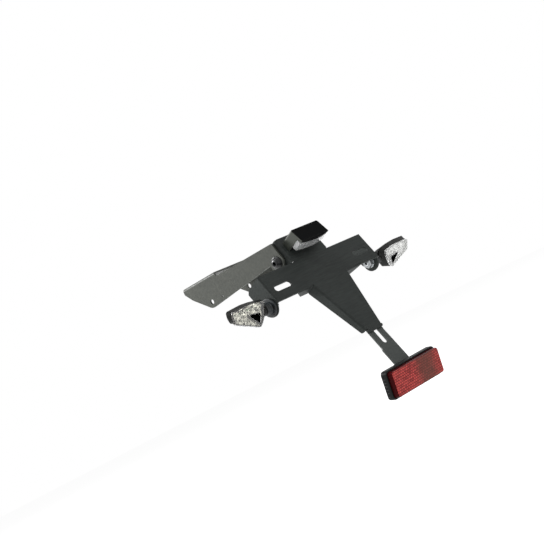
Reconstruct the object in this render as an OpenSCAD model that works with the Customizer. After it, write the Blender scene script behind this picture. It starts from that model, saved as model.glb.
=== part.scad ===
// Tail tidy for a motorbike: a folded number plate carrier that tilts on a
// bracket under the tail, with a plate lamp, two indicators and a reflector.
// X runs to the right, Y forward and Z up. The origin is the centre of the
// four fixing holes, on the top face of the bracket's web.

/* [Undertail bracket] */
// Distance between the outer faces of the bracket's two walls
bracket_w = 79; // [70:1:110]
// Thickness of the bracket's sheet
bracket_t = 2.5; // [2:0.5:4]
// Length of the web along the bike
web_l = 71; // [64:1:90]
// Height of the web's top face above the tilt bolts
web_rise = 32; // [29:1:45]
// Distance from the tilt bolts forward to the middle of the fixing holes
web_reach = 154; // [145:1:190]
// Height of the walls' top edge above the tilt bolts, behind the web
wall_rise = 25.5; // [22:0.5:27]
// Fall of the walls' lower edge towards the front
wall_fall = 4.9; // [2:0.1:8]
// Radius of the walls' rear ends around the tilt bolts
nose_r = 12.8; // [11:0.1:15]
// Side of the square that the four fixing holes make
fixing_pitch = 46; // [36:1:54]
// Diameter of the fixing holes
fixing_d = 6.6; // [5.5:0.1:8.5]
// Diameter of the wiring hole in each wall
wiring_hole_d = 7; // [5:0.5:9]
// Diameter of the small hole in each wall
tie_hole_d = 3.2; // [2.5:0.1:5]

/* [Tilt bolts] */
// Thread diameter of the tilt bolts
tilt_bolt_d = 8; // [6:1:8]
// Diameter of the bolts' flange
tilt_head_d = 17.8; // [15:0.1:20]
// Thickness of the washer between wall and ear
ear_washer_t = 1; // [0.8:0.1:2]

/* [Plate carrier] */
// Thickness of the carrier's sheet
sheet_t = 2; // [1.5:0.5:3]
// Inside radius of the carrier's bends
bend_in = 0.8; // [0.5:0.1:1.2]
// Lean of the carrier from upright, with its lower end to the rear
carrier_lean = 20; // [5:1:35]
// Width across the wings
wing_w = 210; // [200:1:240]
// Height of the wings
wing_h = 41.5; // [38:0.5:50]
// Depth of the flanges at the wings' ends
wing_flange = 32; // [31:0.5:40]
// Height of the tab above the wings
tab_h = 39; // [37:0.5:48]
// Width of the tip of the stem
stem_tip_w = 32.6; // [32:0.2:40]
// Distance from the wings' top edge to the end of the stem
stem_end = 131.5; // [125:0.5:145]
// Depth of the stem's side flanges beside the wings
stem_flange = 16; // [13:0.5:20]
// Depth of the stem's side flanges at the tip
tip_flange = 9.5; // [8:0.5:12]
// Distance between the centres of the two plate slots
slot_pitch = 160; // [150:1:164]
// Length of a plate slot
slot_l = 30; // [20:1:36]
// Width of a plate slot
slot_w = 8; // [5:0.5:10]
// Distance from the wings' top edge down to the slots
slot_drop = 24.4; // [16:0.1:26]
// Distance from the wings' top edge up to the tilt bolts
tilt_up = 16.4; // [15:0.1:22]
// Distance from the carrier's face forward to the tilt bolts
tilt_in = 18.7; // [17:0.1:24]
// Radius of the ears' round ends
ear_r = 12.6; // [11:0.1:14]

/* [Plate lamp] */
// Width of the lamp
lamp_w = 54; // [46:1:60]
// Height of the lamp's cover along the carrier
lamp_h = 22; // [20:0.5:26]
// Distance of the lamp's cover from the carrier
lamp_deep = 26; // [23:0.5:34]
// Distance from the wings' top edge up to the lamp's lip
lamp_up = 9.5; // [7:0.5:12]
// Swell of the lip at the middle of the lamp
lip_swell = 3; // [1:0.1:5]
// Wall of the lamp's cover
lamp_wall = 2; // [1.5:0.1:3]

/* [Indicators] */
// Distance from the wings' top edge down to the indicators' studs
hub_drop = 36.9; // [33:0.1:40]
// Distance from the carrier's face forward to the studs
hub_in = 17.4; // [15:0.1:18]
// Turn of the left indicator on its stud
left_turn = 29; // [10:1:60]
// Turn of the right indicator on its stud
right_turn = 55; // [10:1:60]
// Length of an indicator's body
body_l = 61; // [54:1:76]
// Height of the body's crown above the stud
body_crown = 18.8; // [17.5:0.1:21]
// Height of an indicator's body at its outer end
body_h = 15; // [13:0.5:19]
// Drop of the body's lower point below the stud
point_drop = 15; // [13:0.5:18]
// Distance from the flange to the body
stalk_l = 12.5; // [11:0.5:20]
// Diameter of the rubber stalk
stalk_d = 16; // [14:0.5:18]
// Diameter of the rubber ring against the flange
ring_d = 24.8; // [22:0.2:25]
// Thread diameter of the indicator's stud
stud_d = 8; // [8:1:10]
// Sweep of the body towards the front
sweep = 3; // [0:1:8]

/* [Reflector] */
// Width of the reflector's housing
reflector_w = 104; // [90:1:120]
// Height of the reflector's housing
reflector_h = 38; // [34:0.5:46]
// Depth of the reflector's housing
reflector_deep = 10; // [8:0.5:14]
// Depth of the red lens in front of the housing
lens_deep = 7.5; // [5:0.5:9]
// Border of the housing around the lens
rim_w = 2; // [1.5:0.1:3]
// Turn of the reflector towards upright
reflector_turn = 31; // [15:1:40]
// Distance from the wings' top edge down to the strip's bend
strip_bend = 187.5; // [182:0.5:200]
// Distance from the wings' top edge down to the strip's top end
strip_top = 84; // [80:0.5:90]
// Width of the strip's upper part
strip_w = 27.4; // [25:0.2:27.6]
// Width of the strip's lower part
strip_low_w = 30.8; // [29:0.2:36]
// Width of the strip's slot
strip_slot_w = 8; // [7:0.5:9]
// Thread diameter of the strip's studs
strip_stud_d = 6; // [5:1:6]

/* [Hidden] */
$fn = 64;

// Clearances that every fit takes from here
turn_gap = 0.05;   // radial gap of a pin that turns in its hole
face_gap = 0.1;    // gap between flat faces that move on each other
seat_gap = 0.05;   // gap around a piece that is set into another

// Outline helpers
function unit(a) = a / norm(a);
function wrap(a) = a > 180 ? a - 360 : (a < -180 ? a + 360 : a);
// Arc that rounds the corner q, between the points p and s, to the radius r
function corner(p, q, s, r, steps) =
    let (to_p = unit(p - q), to_s = unit(s - q),
         half = acos(to_p * to_s) / 2,
         centre = q + unit(to_p + to_s) * r / sin(half),
         start = q + to_p * r / tan(half) - centre,
         end = q + to_s * r / tan(half) - centre,
         a = atan2(start[1], start[0]),
         turn = wrap(atan2(end[1], end[0]) - a))
    [for (i = [0:steps]) centre + r * [cos(a + turn * i / steps), sin(a + turn * i / steps)]];
// Outline through the points [x, y, radius], with its corners rounded
function rounded(pts, steps = 6) =
    let (n = len(pts))
    [for (i = [0:n - 1])
        let (q = [pts[i][0], pts[i][1]],
             p = [pts[(i + n - 1) % n][0], pts[(i + n - 1) % n][1]],
             s = [pts[(i + 1) % n][0], pts[(i + 1) % n][1]])
        each (pts[i][2] > 0 ? corner(p, q, s, pts[i][2], steps) : [q])];
// The same outline mirrored to the other side and joined on, for a half
// that runs from the top of the symmetry line to its bottom
function both_sides(half) =
    concat(half, [for (i = [len(half) - 1:-1:0]) [-half[i][0], half[i][1], half[i][2]]]);
// Point where a line from p touches the circle around c
function touch(p, c, r, side) =
    let (d = p - c, a = atan2(d[1], d[0]) + side * acos(r / norm(d)))
    c + r * [cos(a), sin(a)];

module rounded_rect(w, h, r) {
    polygon(rounded([[w / 2, h / 2, r], [-w / 2, h / 2, r],
                     [-w / 2, -h / 2, r], [w / 2, -h / 2, r]]));
}

// Slot along X through everything between the heights z0 and z1
module slot_cut(l, w, z0, z1) {
    translate([0, 0, z0]) {
        translate([-(l - w) / 2, -w / 2, 0]) cube([l - w, w, z1 - z0]);
        for (s = [-1, 1]) translate([s * (l - w) / 2, 0, 0]) cylinder(d = w, h = z1 - z0);
    }
}

// Rod, hole or disc along +X, from x0 to x1
module along_x(d, x0, x1) {
    translate([x0, 0, 0]) rotate([0, 90, 0]) cylinder(d = d, h = x1 - x0);
}

module hexagon(across, h) {
    cylinder(d = across / cos(30), h = h, $fn = 6);
}

// Flanged hexagon nut that stands on its flange, with its thread's bore
module flange_nut(d, across, h, flange_d) {
    difference() {
        union() {
            intersection() {
                hexagon(across, h);
                rotate_extrude() polygon([[0, 0], [across * 0.58, 0], [across * 0.58, h - 0.8],
                                          [across * 0.5, h], [0, h]]);
            }
            rotate_extrude() polygon([[0, 0], [flange_d / 2, 0], [flange_d / 2, 1],
                                      [across * 0.5, 2.2], [0, 2.2]]);
        }
        translate([0, 0, -1]) cylinder(d = d + 2 * seat_gap, h = h + 2);
    }
}

module washer(inner, outer, t) {
    difference() {
        cylinder(d = outer, h = t);
        translate([0, 0, -1]) cylinder(d = inner, h = t + 2);
    }
}

// Where the main pieces lie
tilt_y = -web_reach;
tilt_z = -web_rise;
wall_x = bracket_w / 2 - bracket_t;               // inner face of a bracket wall
ear_x = wall_x - ear_washer_t - face_gap;         // outer face of an ear
tab_half = ear_x;
wing_half = wing_w / 2;
bend_out = bend_in + sheet_t;
stem_flange_end = stem_end - 5;
stem_taper = atan((tab_half - stem_tip_w / 2) / (stem_flange_end - wing_h));

// Places things drawn on the carrier: X to the right, Y up the plate and Z
// out of its face, from the middle of the wings' top edge
module on_carrier() {
    translate([0, tilt_y, tilt_z]) rotate([90 - carrier_lean, 0, 0])
        translate([0, -tilt_up, tilt_in]) children();
}

/* Undertail bracket: one folded sheet, a web with two long side walls */

wall_front = web_reach + web_l / 2;
function wall_low(y) = 0.5 - (y - nose_r) * tan(wall_fall);
function wall_outline() = rounded([
    [-5.5, wall_rise, 2],
    [-9.2, 12, 14],
    [touch([-9.2, 12], [0, 0], nose_r - 0.5, 1)[0], touch([-9.2, 12], [0, 0], nose_r - 0.5, 1)[1], 0],
    [0, -nose_r * 0.5, 0],
    [nose_r * 0.9, wall_low(nose_r), 0],
    [web_reach - 5, wall_low(web_reach - 5), 13],
    [web_reach + 25, 12, 30],
    [wall_front, wall_rise - 1.5, 3],
    [wall_front, web_rise, 0],
    [wall_front - web_l, web_rise, 1.5],
    [wall_front - web_l - 4, wall_rise, 2]
]);
wiring_hole_y = web_reach - 9.5;
tie_hole_y = web_reach - 33;
hole_z = -2.6;

module bracket_section() {
    r = bracket_t + 1.2;
    for (s = [0, 1]) mirror([s, 0, 0]) {
        translate([wall_x, -web_rise * 2]) square([bracket_t, web_rise * 3 - r]);
        intersection() {
            translate([bracket_w / 2 - r, web_rise - r]) difference() {
                circle(r);
                circle(r - bracket_t);
            }
            translate([bracket_w / 2 - r, web_rise - r]) square(r);
        }
        translate([0, web_rise - bracket_t]) square([bracket_w / 2 - r, bracket_t]);
    }
}

module undertail_bracket() {
    color("#3c3f3d") translate([0, tilt_y, tilt_z]) difference() {
        intersection() {
            translate([0, wall_front, 0]) rotate([90, 0, 0])
                linear_extrude(wall_front + nose_r + 1) bracket_section();
            rotate([90, 0, 90]) translate([0, 0, -bracket_w / 2]) linear_extrude(bracket_w) union() {
                polygon(wall_outline());
                circle(nose_r);
            }
        }
        along_x(tilt_bolt_d + 2 * seat_gap, -bracket_w, bracket_w);
        for (y = [[wiring_hole_y, wiring_hole_d], [tie_hole_y, tie_hole_d]])
            translate([0, y[0], hole_z]) along_x(y[1], -bracket_w, bracket_w);
        for (x = [-1, 1], y = [-1, 1])
            translate([x * fixing_pitch / 2, web_reach + y * fixing_pitch / 2, 0])
                cylinder(d = fixing_d, h = web_rise + 1);
    }
}

/* Tilt bolts, one through each wall and ear, with washer and nut */

nut_d = tilt_bolt_d;
nut_across = tilt_bolt_d * 1.625;
nut_h = tilt_bolt_d;

module tilt_side() {
    for (s = [0, 1]) translate([0, tilt_y, tilt_z]) mirror([s, 0, 0]) children();
}

module tilt_bolts() {
    inner = ear_x - sheet_t - face_gap - nut_h - 2;
    color("#26282a") tilt_side() difference() {
        union() {
            along_x(tilt_bolt_d, inner, bracket_w / 2 + 1);
            translate([bracket_w / 2, 0, 0]) rotate([0, 90, 0]) rotate_extrude() polygon([
                [0, 0], [tilt_head_d / 2, 0], [tilt_head_d / 2, 1.2], [tilt_head_d * 0.41, 2],
                [tilt_head_d * 0.37, 3.4], [tilt_head_d * 0.28, 4.7], [tilt_head_d * 0.18, 5.2], [0, 5.2]]);
        }
        translate([bracket_w / 2 + 2.2, 0, 0]) rotate([0, 90, 0]) hexagon(5, 5);
    }
}

module tilt_washers() {
    color("#17181a") tilt_side() translate([wall_x - ear_washer_t, 0, 0]) rotate([0, 90, 0])
        washer(tilt_bolt_d + 2 * seat_gap, nose_r * 1.6, ear_washer_t);
}

module tilt_nuts() {
    color("#9da1a3") tilt_side() translate([ear_x - sheet_t - face_gap, 0, 0]) rotate([0, -90, 0])
        flange_nut(nut_d, nut_across, nut_h, tilt_head_d);
}

/* Plate carrier: one folded sheet with ears, wings and a tapered stem */

// A fold along Y: the sheet turns down past the bend to the given depth.
// X is 0 where the bend starts, and the flange's outer face is at bend_out
module fold(from, to, depth) {
    translate([0, to, 0]) rotate([90, 0, 0]) linear_extrude(to - from) {
        intersection() {
            translate([0, -bend_out]) difference() {
                circle(bend_out);
                circle(bend_in);
            }
            translate([0, -bend_out]) square(bend_out);
        }
        translate([bend_in, -depth]) square([sheet_t, depth - bend_out]);
        translate([-1, -sheet_t]) square([1, sheet_t]);
    }
}

// Cuts what is drawn on the flange's side, Y up and Z out, to an outline
module trim_side(outline) {
    intersection() {
        children();
        translate([-wing_w, 0, 0]) rotate([90, 0, 90]) linear_extrude(2 * wing_w) polygon(outline);
    }
}

ear_centre = [tilt_up, -tilt_in];
ear_corner = [tab_h - 0.5, -7];
ear_touch = touch(ear_corner, ear_centre, ear_r, -1);
ear_low = touch([1.5, -bend_out], ear_centre, ear_r, 1);
hub = [-hub_drop, -hub_in];
flange_end_r = ring_d / 2 + 0.8;
lip_depth = 15.5;
stem_side = (stem_flange_end - wing_h) / cos(stem_taper);

module ear() {
    difference() {
        union() {
            trim_side([[1.5, 1], [tab_h - 0.5, 1], ear_corner, ear_touch, ear_centre, ear_low,
                [1.5, -bend_out]])
                translate([tab_half - bend_out, 0, 0]) fold(1.5, tab_h - 0.5, tilt_in + ear_r);
            translate([0, ear_centre[0], ear_centre[1]])
                along_x(2 * ear_r, tab_half - sheet_t, tab_half);
        }
        translate([0, ear_centre[0], ear_centre[1]])
            along_x(tilt_bolt_d + 2 * turn_gap, tab_half - 5, tab_half + 1);
    }
}

module wing_flange_side() {
    difference() {
        union() {
            trim_side(rounded([[1, 1, 0], [0, -wing_flange + 5, 1.5], [-3.5, -wing_flange, 1.5],
                               [hub[0] + 1, -wing_flange, 10], [-wing_h, hub[1] - 3, 0], [-wing_h, 1, 0]]))
                translate([wing_half - bend_out, 0, 0]) fold(-wing_h, 0, wing_flange);
            translate([0, hub[0], hub[1]]) along_x(2 * flange_end_r, wing_half - sheet_t, wing_half);
        }
        translate([0, hub[0], hub[1]]) along_x(stud_d + 2 * turn_gap, wing_half - 5, wing_half + 1);
    }
}

module stem_flange_side() {
    translate([tab_half, -wing_h, 0]) rotate([0, 0, -stem_taper]) translate([-bend_out, 0, 0])
        trim_side(rounded([[1, 1, 0], [-stem_side - 1, 1, 0], [-stem_side - 1, -bend_out, 0],
                           [-stem_side + 1.5, -tip_flange, 2], [0, -stem_flange, 2], [1, -bend_out, 0]]))
            fold(-stem_side, 0, stem_flange);
}

// Lip under the wing beside the stem, its outer end cut at an angle
module wing_lip() {
    intersection() {
        translate([0, -wing_h + bend_out, 0]) rotate([0, 0, -90])
            fold(tab_half + 0.6, tab_half + 28, lip_depth);
        translate([0, -wing_h - 1, 0]) rotate([-90, 0, 0]) linear_extrude(bend_out + 2)
            polygon([[tab_half, -1], [tab_half + 28, -1], [tab_half + 28, 4], [tab_half + 16, lip_depth],
                     [tab_half + 0.6, lip_depth]]);
    }
}

module carrier_face() {
    b = bend_out;
    difference() {
        translate([0, 0, -sheet_t]) linear_extrude(sheet_t) polygon(rounded(both_sides([
            [tab_half - b - 1.5, tab_h, 1],
            [tab_half - b, tab_h - 0.5, 0],
            [tab_half - b, 0, 0],
            [wing_half - b, 0, 0],
            [wing_half - b, -wing_h, 0],
            [tab_half + 28, -wing_h, 0],
            [tab_half + 28, -wing_h + b, 0],
            [tab_half + 0.6, -wing_h + b, 0],
            [tab_half - b * cos(stem_taper), -wing_h + b * sin(stem_taper), 0],
            [stem_tip_w / 2 - b * cos(stem_taper), -stem_flange_end + b * sin(stem_taper), 0],
            [stem_tip_w / 2 - b * cos(stem_taper), -stem_flange_end - 0.8, 0],
            [stem_tip_w / 2 - 0.2, -stem_flange_end - 0.8, 0.5],
            [stem_tip_w / 2 - 1.2, -stem_end, 3.2]
        ])));
        for (s = [-1, 1]) translate([s * slot_pitch / 2, -slot_drop, 0])
            slot_cut(slot_l, slot_w, -sheet_t - 1, 1);
        for (s = [-1, 1]) translate([s * lamp_screw_x, lamp_screw_y, -sheet_t - 1])
            cylinder(d = lamp_screw_d + 0.5, h = sheet_t + 2);
    }
}

module plate_carrier() {
    color("#3a3d3c") on_carrier() {
        carrier_face();
        for (s = [0, 1]) mirror([s, 0, 0]) {
            ear();
            wing_flange_side();
            stem_flange_side();
            wing_lip();
        }
    }
}

/* Plate lamp: a cover on the tab, with its lens along the lower front */

lamp_screw_d = 4;
lamp_screw_x = lamp_w / 2 - 9;
lamp_top = lamp_up + lamp_h;
lamp_screw_y = lamp_top - 5.5;
lens_h = 6.5;
lens_back = 8.5;
lens_front = lamp_deep - 4;

// Side view of the cover, [up the plate, out of its face]
function cover_side(inset) = [
    [lamp_top - inset, inset > 0 ? inset : 0],
    [lamp_top - inset, lamp_deep - 1.8 - inset],
    [lamp_up + inset, lamp_deep + 1.5 - inset],
    [lamp_up + inset, lamp_deep - 1.4 - inset / 2],
    [lamp_up + lens_h + inset / 2, lens_front + 0.2 - inset / 2],
    [lamp_up + lens_h + inset, inset > 0 ? inset : 0]
];

// Front view of the lamp, its lower edge swelling towards the middle
module lamp_front(w, low, swell) {
    rise = swell;
    chord = w / 2;
    r = (chord * chord + rise * rise) / (2 * rise);
    difference() {
        translate([-w / 2, low - swell]) square([w, lamp_top - low + swell + 1]);
        difference() {
            translate([-w / 2 - 1, low - 2 * swell - 1]) square([w + 2, 2 * swell + 1]);
            translate([0, low - swell + r]) circle(r, $fn = 180);
        }
    }
}

module side_prism(pts, w) {
    translate([-w / 2, 0, 0]) rotate([90, 0, 90]) linear_extrude(w) polygon(pts);
}

module lamp_cover() {
    color("#141515") on_carrier() difference() {
        intersection() {
            union() {
                side_prism(cover_side(0), lamp_w);
                translate([0, 0, lamp_deep - 1.4]) linear_extrude(2.4) intersection() {
                    lamp_front(lamp_w, lamp_up, lip_swell);
                    translate([-lamp_w / 2, lamp_up - lip_swell]) square([lamp_w, lip_swell + 1]);
                }
            }
            linear_extrude(lamp_deep + 4) polygon(rounded([
                [lamp_w / 2, 0, 0], [lamp_w / 2, lamp_top, 2.5], [-lamp_w / 2, lamp_top, 2.5],
                [-lamp_w / 2, 0, 0]]));
        }
        difference() {
            side_prism(cover_side(lamp_wall), lamp_w - 2 * lamp_wall);
            for (s = [-1, 1]) translate([s * lamp_screw_x, lamp_screw_y, 0]) cylinder(d = 8, h = 12);
        }
        translate([0, 0, lens_back + 1]) side_prism([[lamp_up + lens_h - 2, 0], [lamp_up + lens_h + 4, 0],
            [lamp_up + lens_h + 4, lens_front - lens_back - 3],
            [lamp_up + lens_h - 2, lens_front - lens_back - 3]],
            lamp_w - 2 * lamp_wall - 4);
        for (s = [-1, 1]) translate([s * lamp_screw_x, lamp_screw_y, -1])
            cylinder(d = lamp_screw_d + 2 * seat_gap, h = 10);
    }
}

module lamp_lens() {
    color("#dfe4e6", 0.6) on_carrier() difference() {
        translate([0, 0, lens_back]) linear_extrude(lens_front - lens_back) difference() {
            lamp_front(lamp_w - 0.4, lamp_up + 0.3, lip_swell - 0.4);
            translate([-lamp_w, lamp_up + lens_h - 0.05]) square([2 * lamp_w, lamp_h * 2]);
        }
        translate([0, 0, lens_back + 1.6]) linear_extrude(lens_front - lens_back - 3.2)
            translate([-lamp_w / 2 + 3, lamp_up + 1.4]) square([lamp_w - 6, lens_h]);
    }
}

led_x = [-13, 0, 13];
board_y = lamp_up + lens_h + 4.2;

module lamp_board() {
    color("#2f5d3a") on_carrier() translate([-lamp_w / 2 + lamp_wall + 1, board_y, lens_back + 2.5])
        cube([lamp_w - 2 * lamp_wall - 2, 1.6, lens_front - lens_back - 4]);
}

module lamp_leds() {
    color("#f2efd8") on_carrier() for (x = led_x)
        translate([x, board_y - seat_gap, (lens_back + lens_front) / 2 + 0.5]) rotate([90, 0, 0]) {
            translate([-1.75, -1.4, 0]) cube([3.5, 2.8, 1]);
            cylinder(d1 = 2.6, d2 = 1.8, h = 1.9);
        }
}

module lamp_screws() {
    color("#9da1a3") on_carrier() for (s = [-1, 1])
        translate([s * lamp_screw_x, lamp_screw_y, -sheet_t - face_gap]) mirror([0, 0, 1]) difference() {
            union() {
                translate([0, 0, -sheet_t - face_gap - 8]) cylinder(d = lamp_screw_d, h = sheet_t + 8.2);
                rotate_extrude() polygon([[0, 0], [3.8, 0], [3.7, 1], [2.9, 1.9], [1.6, 2.3], [0, 2.3]]);
            }
            translate([0, 0, 0.9]) hexagon(2.5, 3);
        }
}

/* Indicators: a shell with a clear lens, on a rubber stalk and a stud */

side_gap = face_gap;
front_w = 12;
shell_top = front_w - 3;
rim_t = 0.7;
tri_wall = 1.6;
tri_r = 0.8;

// Places one indicator's pieces: X outboard from the flange, Y up, Z rear
module on_hub(side, turn) {
    on_carrier() mirror([side < 0 ? 1 : 0, 0, 0]) translate([wing_half, -hub_drop, -hub_in])
        rotate([turn, 0, 0]) children();
}

// Places the body, swept forward about the stalk's end
module on_body() {
    translate([stalk_l, 0, 0]) rotate([0, sweep, 0]) children();
}

// Outline of the body where it is widest, X from the stalk's end
function body_outline(inset) = rounded([
    [body_l * 0.007 + inset, body_crown * 0.793 - inset, body_crown * 0.16],
    [body_l * 0.36, body_crown * 0.957 - inset, body_crown * 1.6],
    [body_l * 0.59, body_crown - inset, body_crown * 2.13],
    [body_l * 0.993 - inset, body_crown * 0.92 - inset, body_crown * 0.16],
    [body_l + 0.2 - inset, body_crown * 0.505, body_crown * 0.53],
    [body_l * 0.975 - inset, body_crown * 0.92 - body_h + inset, body_crown * 0.16],
    [body_l * 0.238, -point_drop + inset, point_drop * 0.133],
    [body_l * 0.167 + inset * 0.7, -point_drop * 0.867 + inset * 0.5, point_drop * 0.133],
    [body_l * 0.049 + inset, -point_drop * 0.313, body_crown * 0.43],
    [body_l * 0.007 + inset, body_crown * 0.213, body_crown * 0.53]
]);

// Outline of the lens, inset all round
function lens_outline(inset) = rounded([
    [body_l * 0.087 + inset * 1.2, body_crown * 0.622 - inset, body_crown * 0.133],
    [body_l * 0.36, body_crown * 0.782 - inset, body_crown * 1.33],
    [body_l * 0.961 - inset, body_crown * 0.739 - inset, body_crown * 0.106],
    [body_l * 0.969 - inset, body_crown * 0.793 - body_h + inset, body_crown * 0.106],
    [body_l * 0.38, -point_drop * 0.98 + inset * 1.4, point_drop * 0.087],
    [body_l * 0.316 + inset, -point_drop * 0.807 + inset * 0.3, point_drop * 0.087],
    [body_l * 0.208 + inset, -point_drop * 0.247, body_crown * 0.43],
    [body_l * 0.148 + inset, body_crown * 0.17, body_crown * 0.43]
]);

// Triangular opening through the body, grown by the given amount
function triangle(grow) = rounded([
    [body_l * 0.587 + grow * 2.2, body_crown * 0.181 + grow * 0.6, tri_r + grow],
    [body_l * 0.284 - grow * 0.9, -body_crown * 0.016 + grow, tri_r + grow],
    [body_l * 0.377 - grow * 0.9, -point_drop * 0.68 - grow * 1.6, tri_r + grow]
]);

module body_shell() {
    hull() {
        translate([0, 0, shell_top - 0.6]) linear_extrude(0.6) polygon(lens_outline(-rim_t));
        translate([0, 0, front_w / 6]) linear_extrude(front_w / 8) polygon(body_outline(0));
        translate([0, 0, -front_w / 4]) linear_extrude(1)
            polygon([for (p = body_outline(front_w / 4)) [p[0] * 0.86, p[1]]]);
        translate([0, 0, -front_w * 7 / 12]) linear_extrude(1)
            polygon([for (p = body_outline(front_w / 2)) [p[0] * 0.6, p[1] * 0.8]]);
        along_x(stalk_d - 3, 0, 1);
    }
}

module left_right(side) {
    turn = side < 0 ? left_turn : right_turn;
    on_hub(side, turn) children();
}

module housing(side) {
    color("#1b1c1c") left_right(side) difference() {
        on_body() difference() {
            body_shell();
            difference() {
                translate([0, 0, front_w - 5]) linear_extrude(6) polygon(lens_outline(0));
                translate([0, 0, front_w - 6]) linear_extrude(8) polygon(triangle(tri_wall));
            }
            translate([0, 0, -front_w]) linear_extrude(front_w * 3) polygon(triangle(0));
        }
        along_x(stud_d + 2 * seat_gap, 0, stalk_l + 5);
    }
}

module reflector_insert(side) {
    color("#c9cdcf") left_right(side) on_body() difference() {
        translate([0, 0, front_w - 5 + 1.7]) linear_extrude(0.8) difference() {
            polygon(lens_outline(seat_gap));
            polygon(triangle(tri_wall + seat_gap));
        }
        for (p = led_places) translate([p[0], p[1], front_w - 5]) cylinder(d1 = 3.4, d2 = 4.4, h = 4);
    }
}

led_places = [for (i = [0:4]) [body_l * (0.43 + i * 0.11), body_crown * 0.54]];

module led_board(side) {
    color("#2f5d3a") left_right(side) on_body() {
        translate([0, 0, front_w - 5]) linear_extrude(0.8) difference() {
            polygon(lens_outline(1));
            polygon(triangle(tri_wall + 1));
        }
        for (p = led_places) translate([p[0], p[1], front_w - 5 + 0.8]) cylinder(d = 2.8, h = 1.1);
    }
}

module indicator_lens(side) {
    color("#e6eaec", 0.55) left_right(side) on_body() difference() {
        union() {
            translate([0, 0, shell_top + seat_gap]) linear_extrude(front_w - shell_top - seat_gap)
                polygon(lens_outline(-rim_t));
            translate([0, 0, front_w - 0.01]) linear_extrude(0.9) polygon(lens_outline(0));
        }
        difference() {
            linear_extrude(front_w - 0.8) polygon(lens_outline(0));
            linear_extrude(front_w) polygon(triangle(tri_wall));
        }
        linear_extrude(front_w * 2) polygon(triangle(0));
    }
}

module stalk(side) {
    color("#242526") left_right(side) difference() {
        rotate([0, 90, 0]) rotate_extrude() polygon([
            [0, 3 + seat_gap], [stalk_d / 2, 3 + seat_gap], [stalk_d / 2 + 0.6, 3.8],
            [stalk_d / 2, 6], [stalk_d / 2 - 0.8, stalk_l + 1], [0, stalk_l + 1]]);
        on_body() body_cut();
        along_x(stud_d + 2 * seat_gap, 0, stalk_l + 5);
    }
}

// Space that the body takes out of the stalk's end
module body_cut() {
    translate([-0.02, -stalk_d, -stalk_d]) cube([stalk_l, stalk_d * 2, stalk_d * 2]);
}

module ring(side) {
    color("#161717") left_right(side) rotate([0, 90, 0]) difference() {
        rotate_extrude() polygon([
            [0, side_gap], [ring_d / 2 - 0.8, side_gap], [ring_d / 2, 0.9], [ring_d / 2, 2.2],
            [ring_d / 2 - 0.8, 3], [0, 3]]);
        cylinder(d = stud_d + 2 * seat_gap, h = 10, center = true);
    }
}

module stud(side) {
    color("#8d9193") left_right(side) difference() {
        along_x(stud_d, -sheet_t - 9, stalk_l + 2);
        along_x(stud_d * 0.5, -sheet_t - 10, stalk_l + 3);
    }
}

module hub_washer(side) {
    color("#b9bdbe") left_right(side) translate([-sheet_t - face_gap, 0, 0]) rotate([0, -90, 0])
        washer(stud_d + 2 * seat_gap, stud_d * 2, 1.5);
}

module hub_nut(side) {
    color("#c3c7c8") left_right(side) translate([-sheet_t - face_gap - 1.5, 0, 0]) rotate([0, -90, 0])
        difference() {
            intersection() {
                hexagon(stud_d * 1.625, 6);
                rotate_extrude() polygon([
                    [0, 0], [stud_d * 0.85, 0], [stud_d * 0.95, 0.6], [stud_d * 0.95, 5.4],
                                          [stud_d * 0.85, 6], [0, 6]]);
            }
            translate([0, 0, -1]) cylinder(d = stud_d + 2 * seat_gap, h = 8);
        }
}

/* Reflector strip and the studs that clamp it behind the stem */

strip_foot = 29;
strip_stud_y = [-strip_top - 16, -strip_top - 34];
strip_face = -sheet_t - face_gap;
strip_slot_end = -strip_bend + 35;
strip_slot_top = -strip_top - 4;
strip_back = strip_face - sheet_t;
strip_below = -strip_bend - strip_foot * 1.4;

module strip_studs() {
    color("#9da1a3") on_carrier() for (y = strip_stud_y)
        translate([0, y, -sheet_t - 12]) cylinder(d = strip_stud_d, h = 12);
}

module strip_washers() {
    color("#b9bdbe") on_carrier() for (y = strip_stud_y)
        translate([0, y, strip_back - face_gap - 1.2])
            washer(strip_stud_d + 2 * seat_gap, strip_stud_d * 2, 1.2);
}

module strip_nuts() {
    color("#9da1a3") on_carrier() for (y = strip_stud_y)
        translate([0, y, strip_back - face_gap - 1.2]) mirror([0, 0, 1])
            flange_nut(strip_stud_d, strip_stud_d * 1.65, strip_stud_d * 0.9, strip_stud_d * 2);
}

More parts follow.
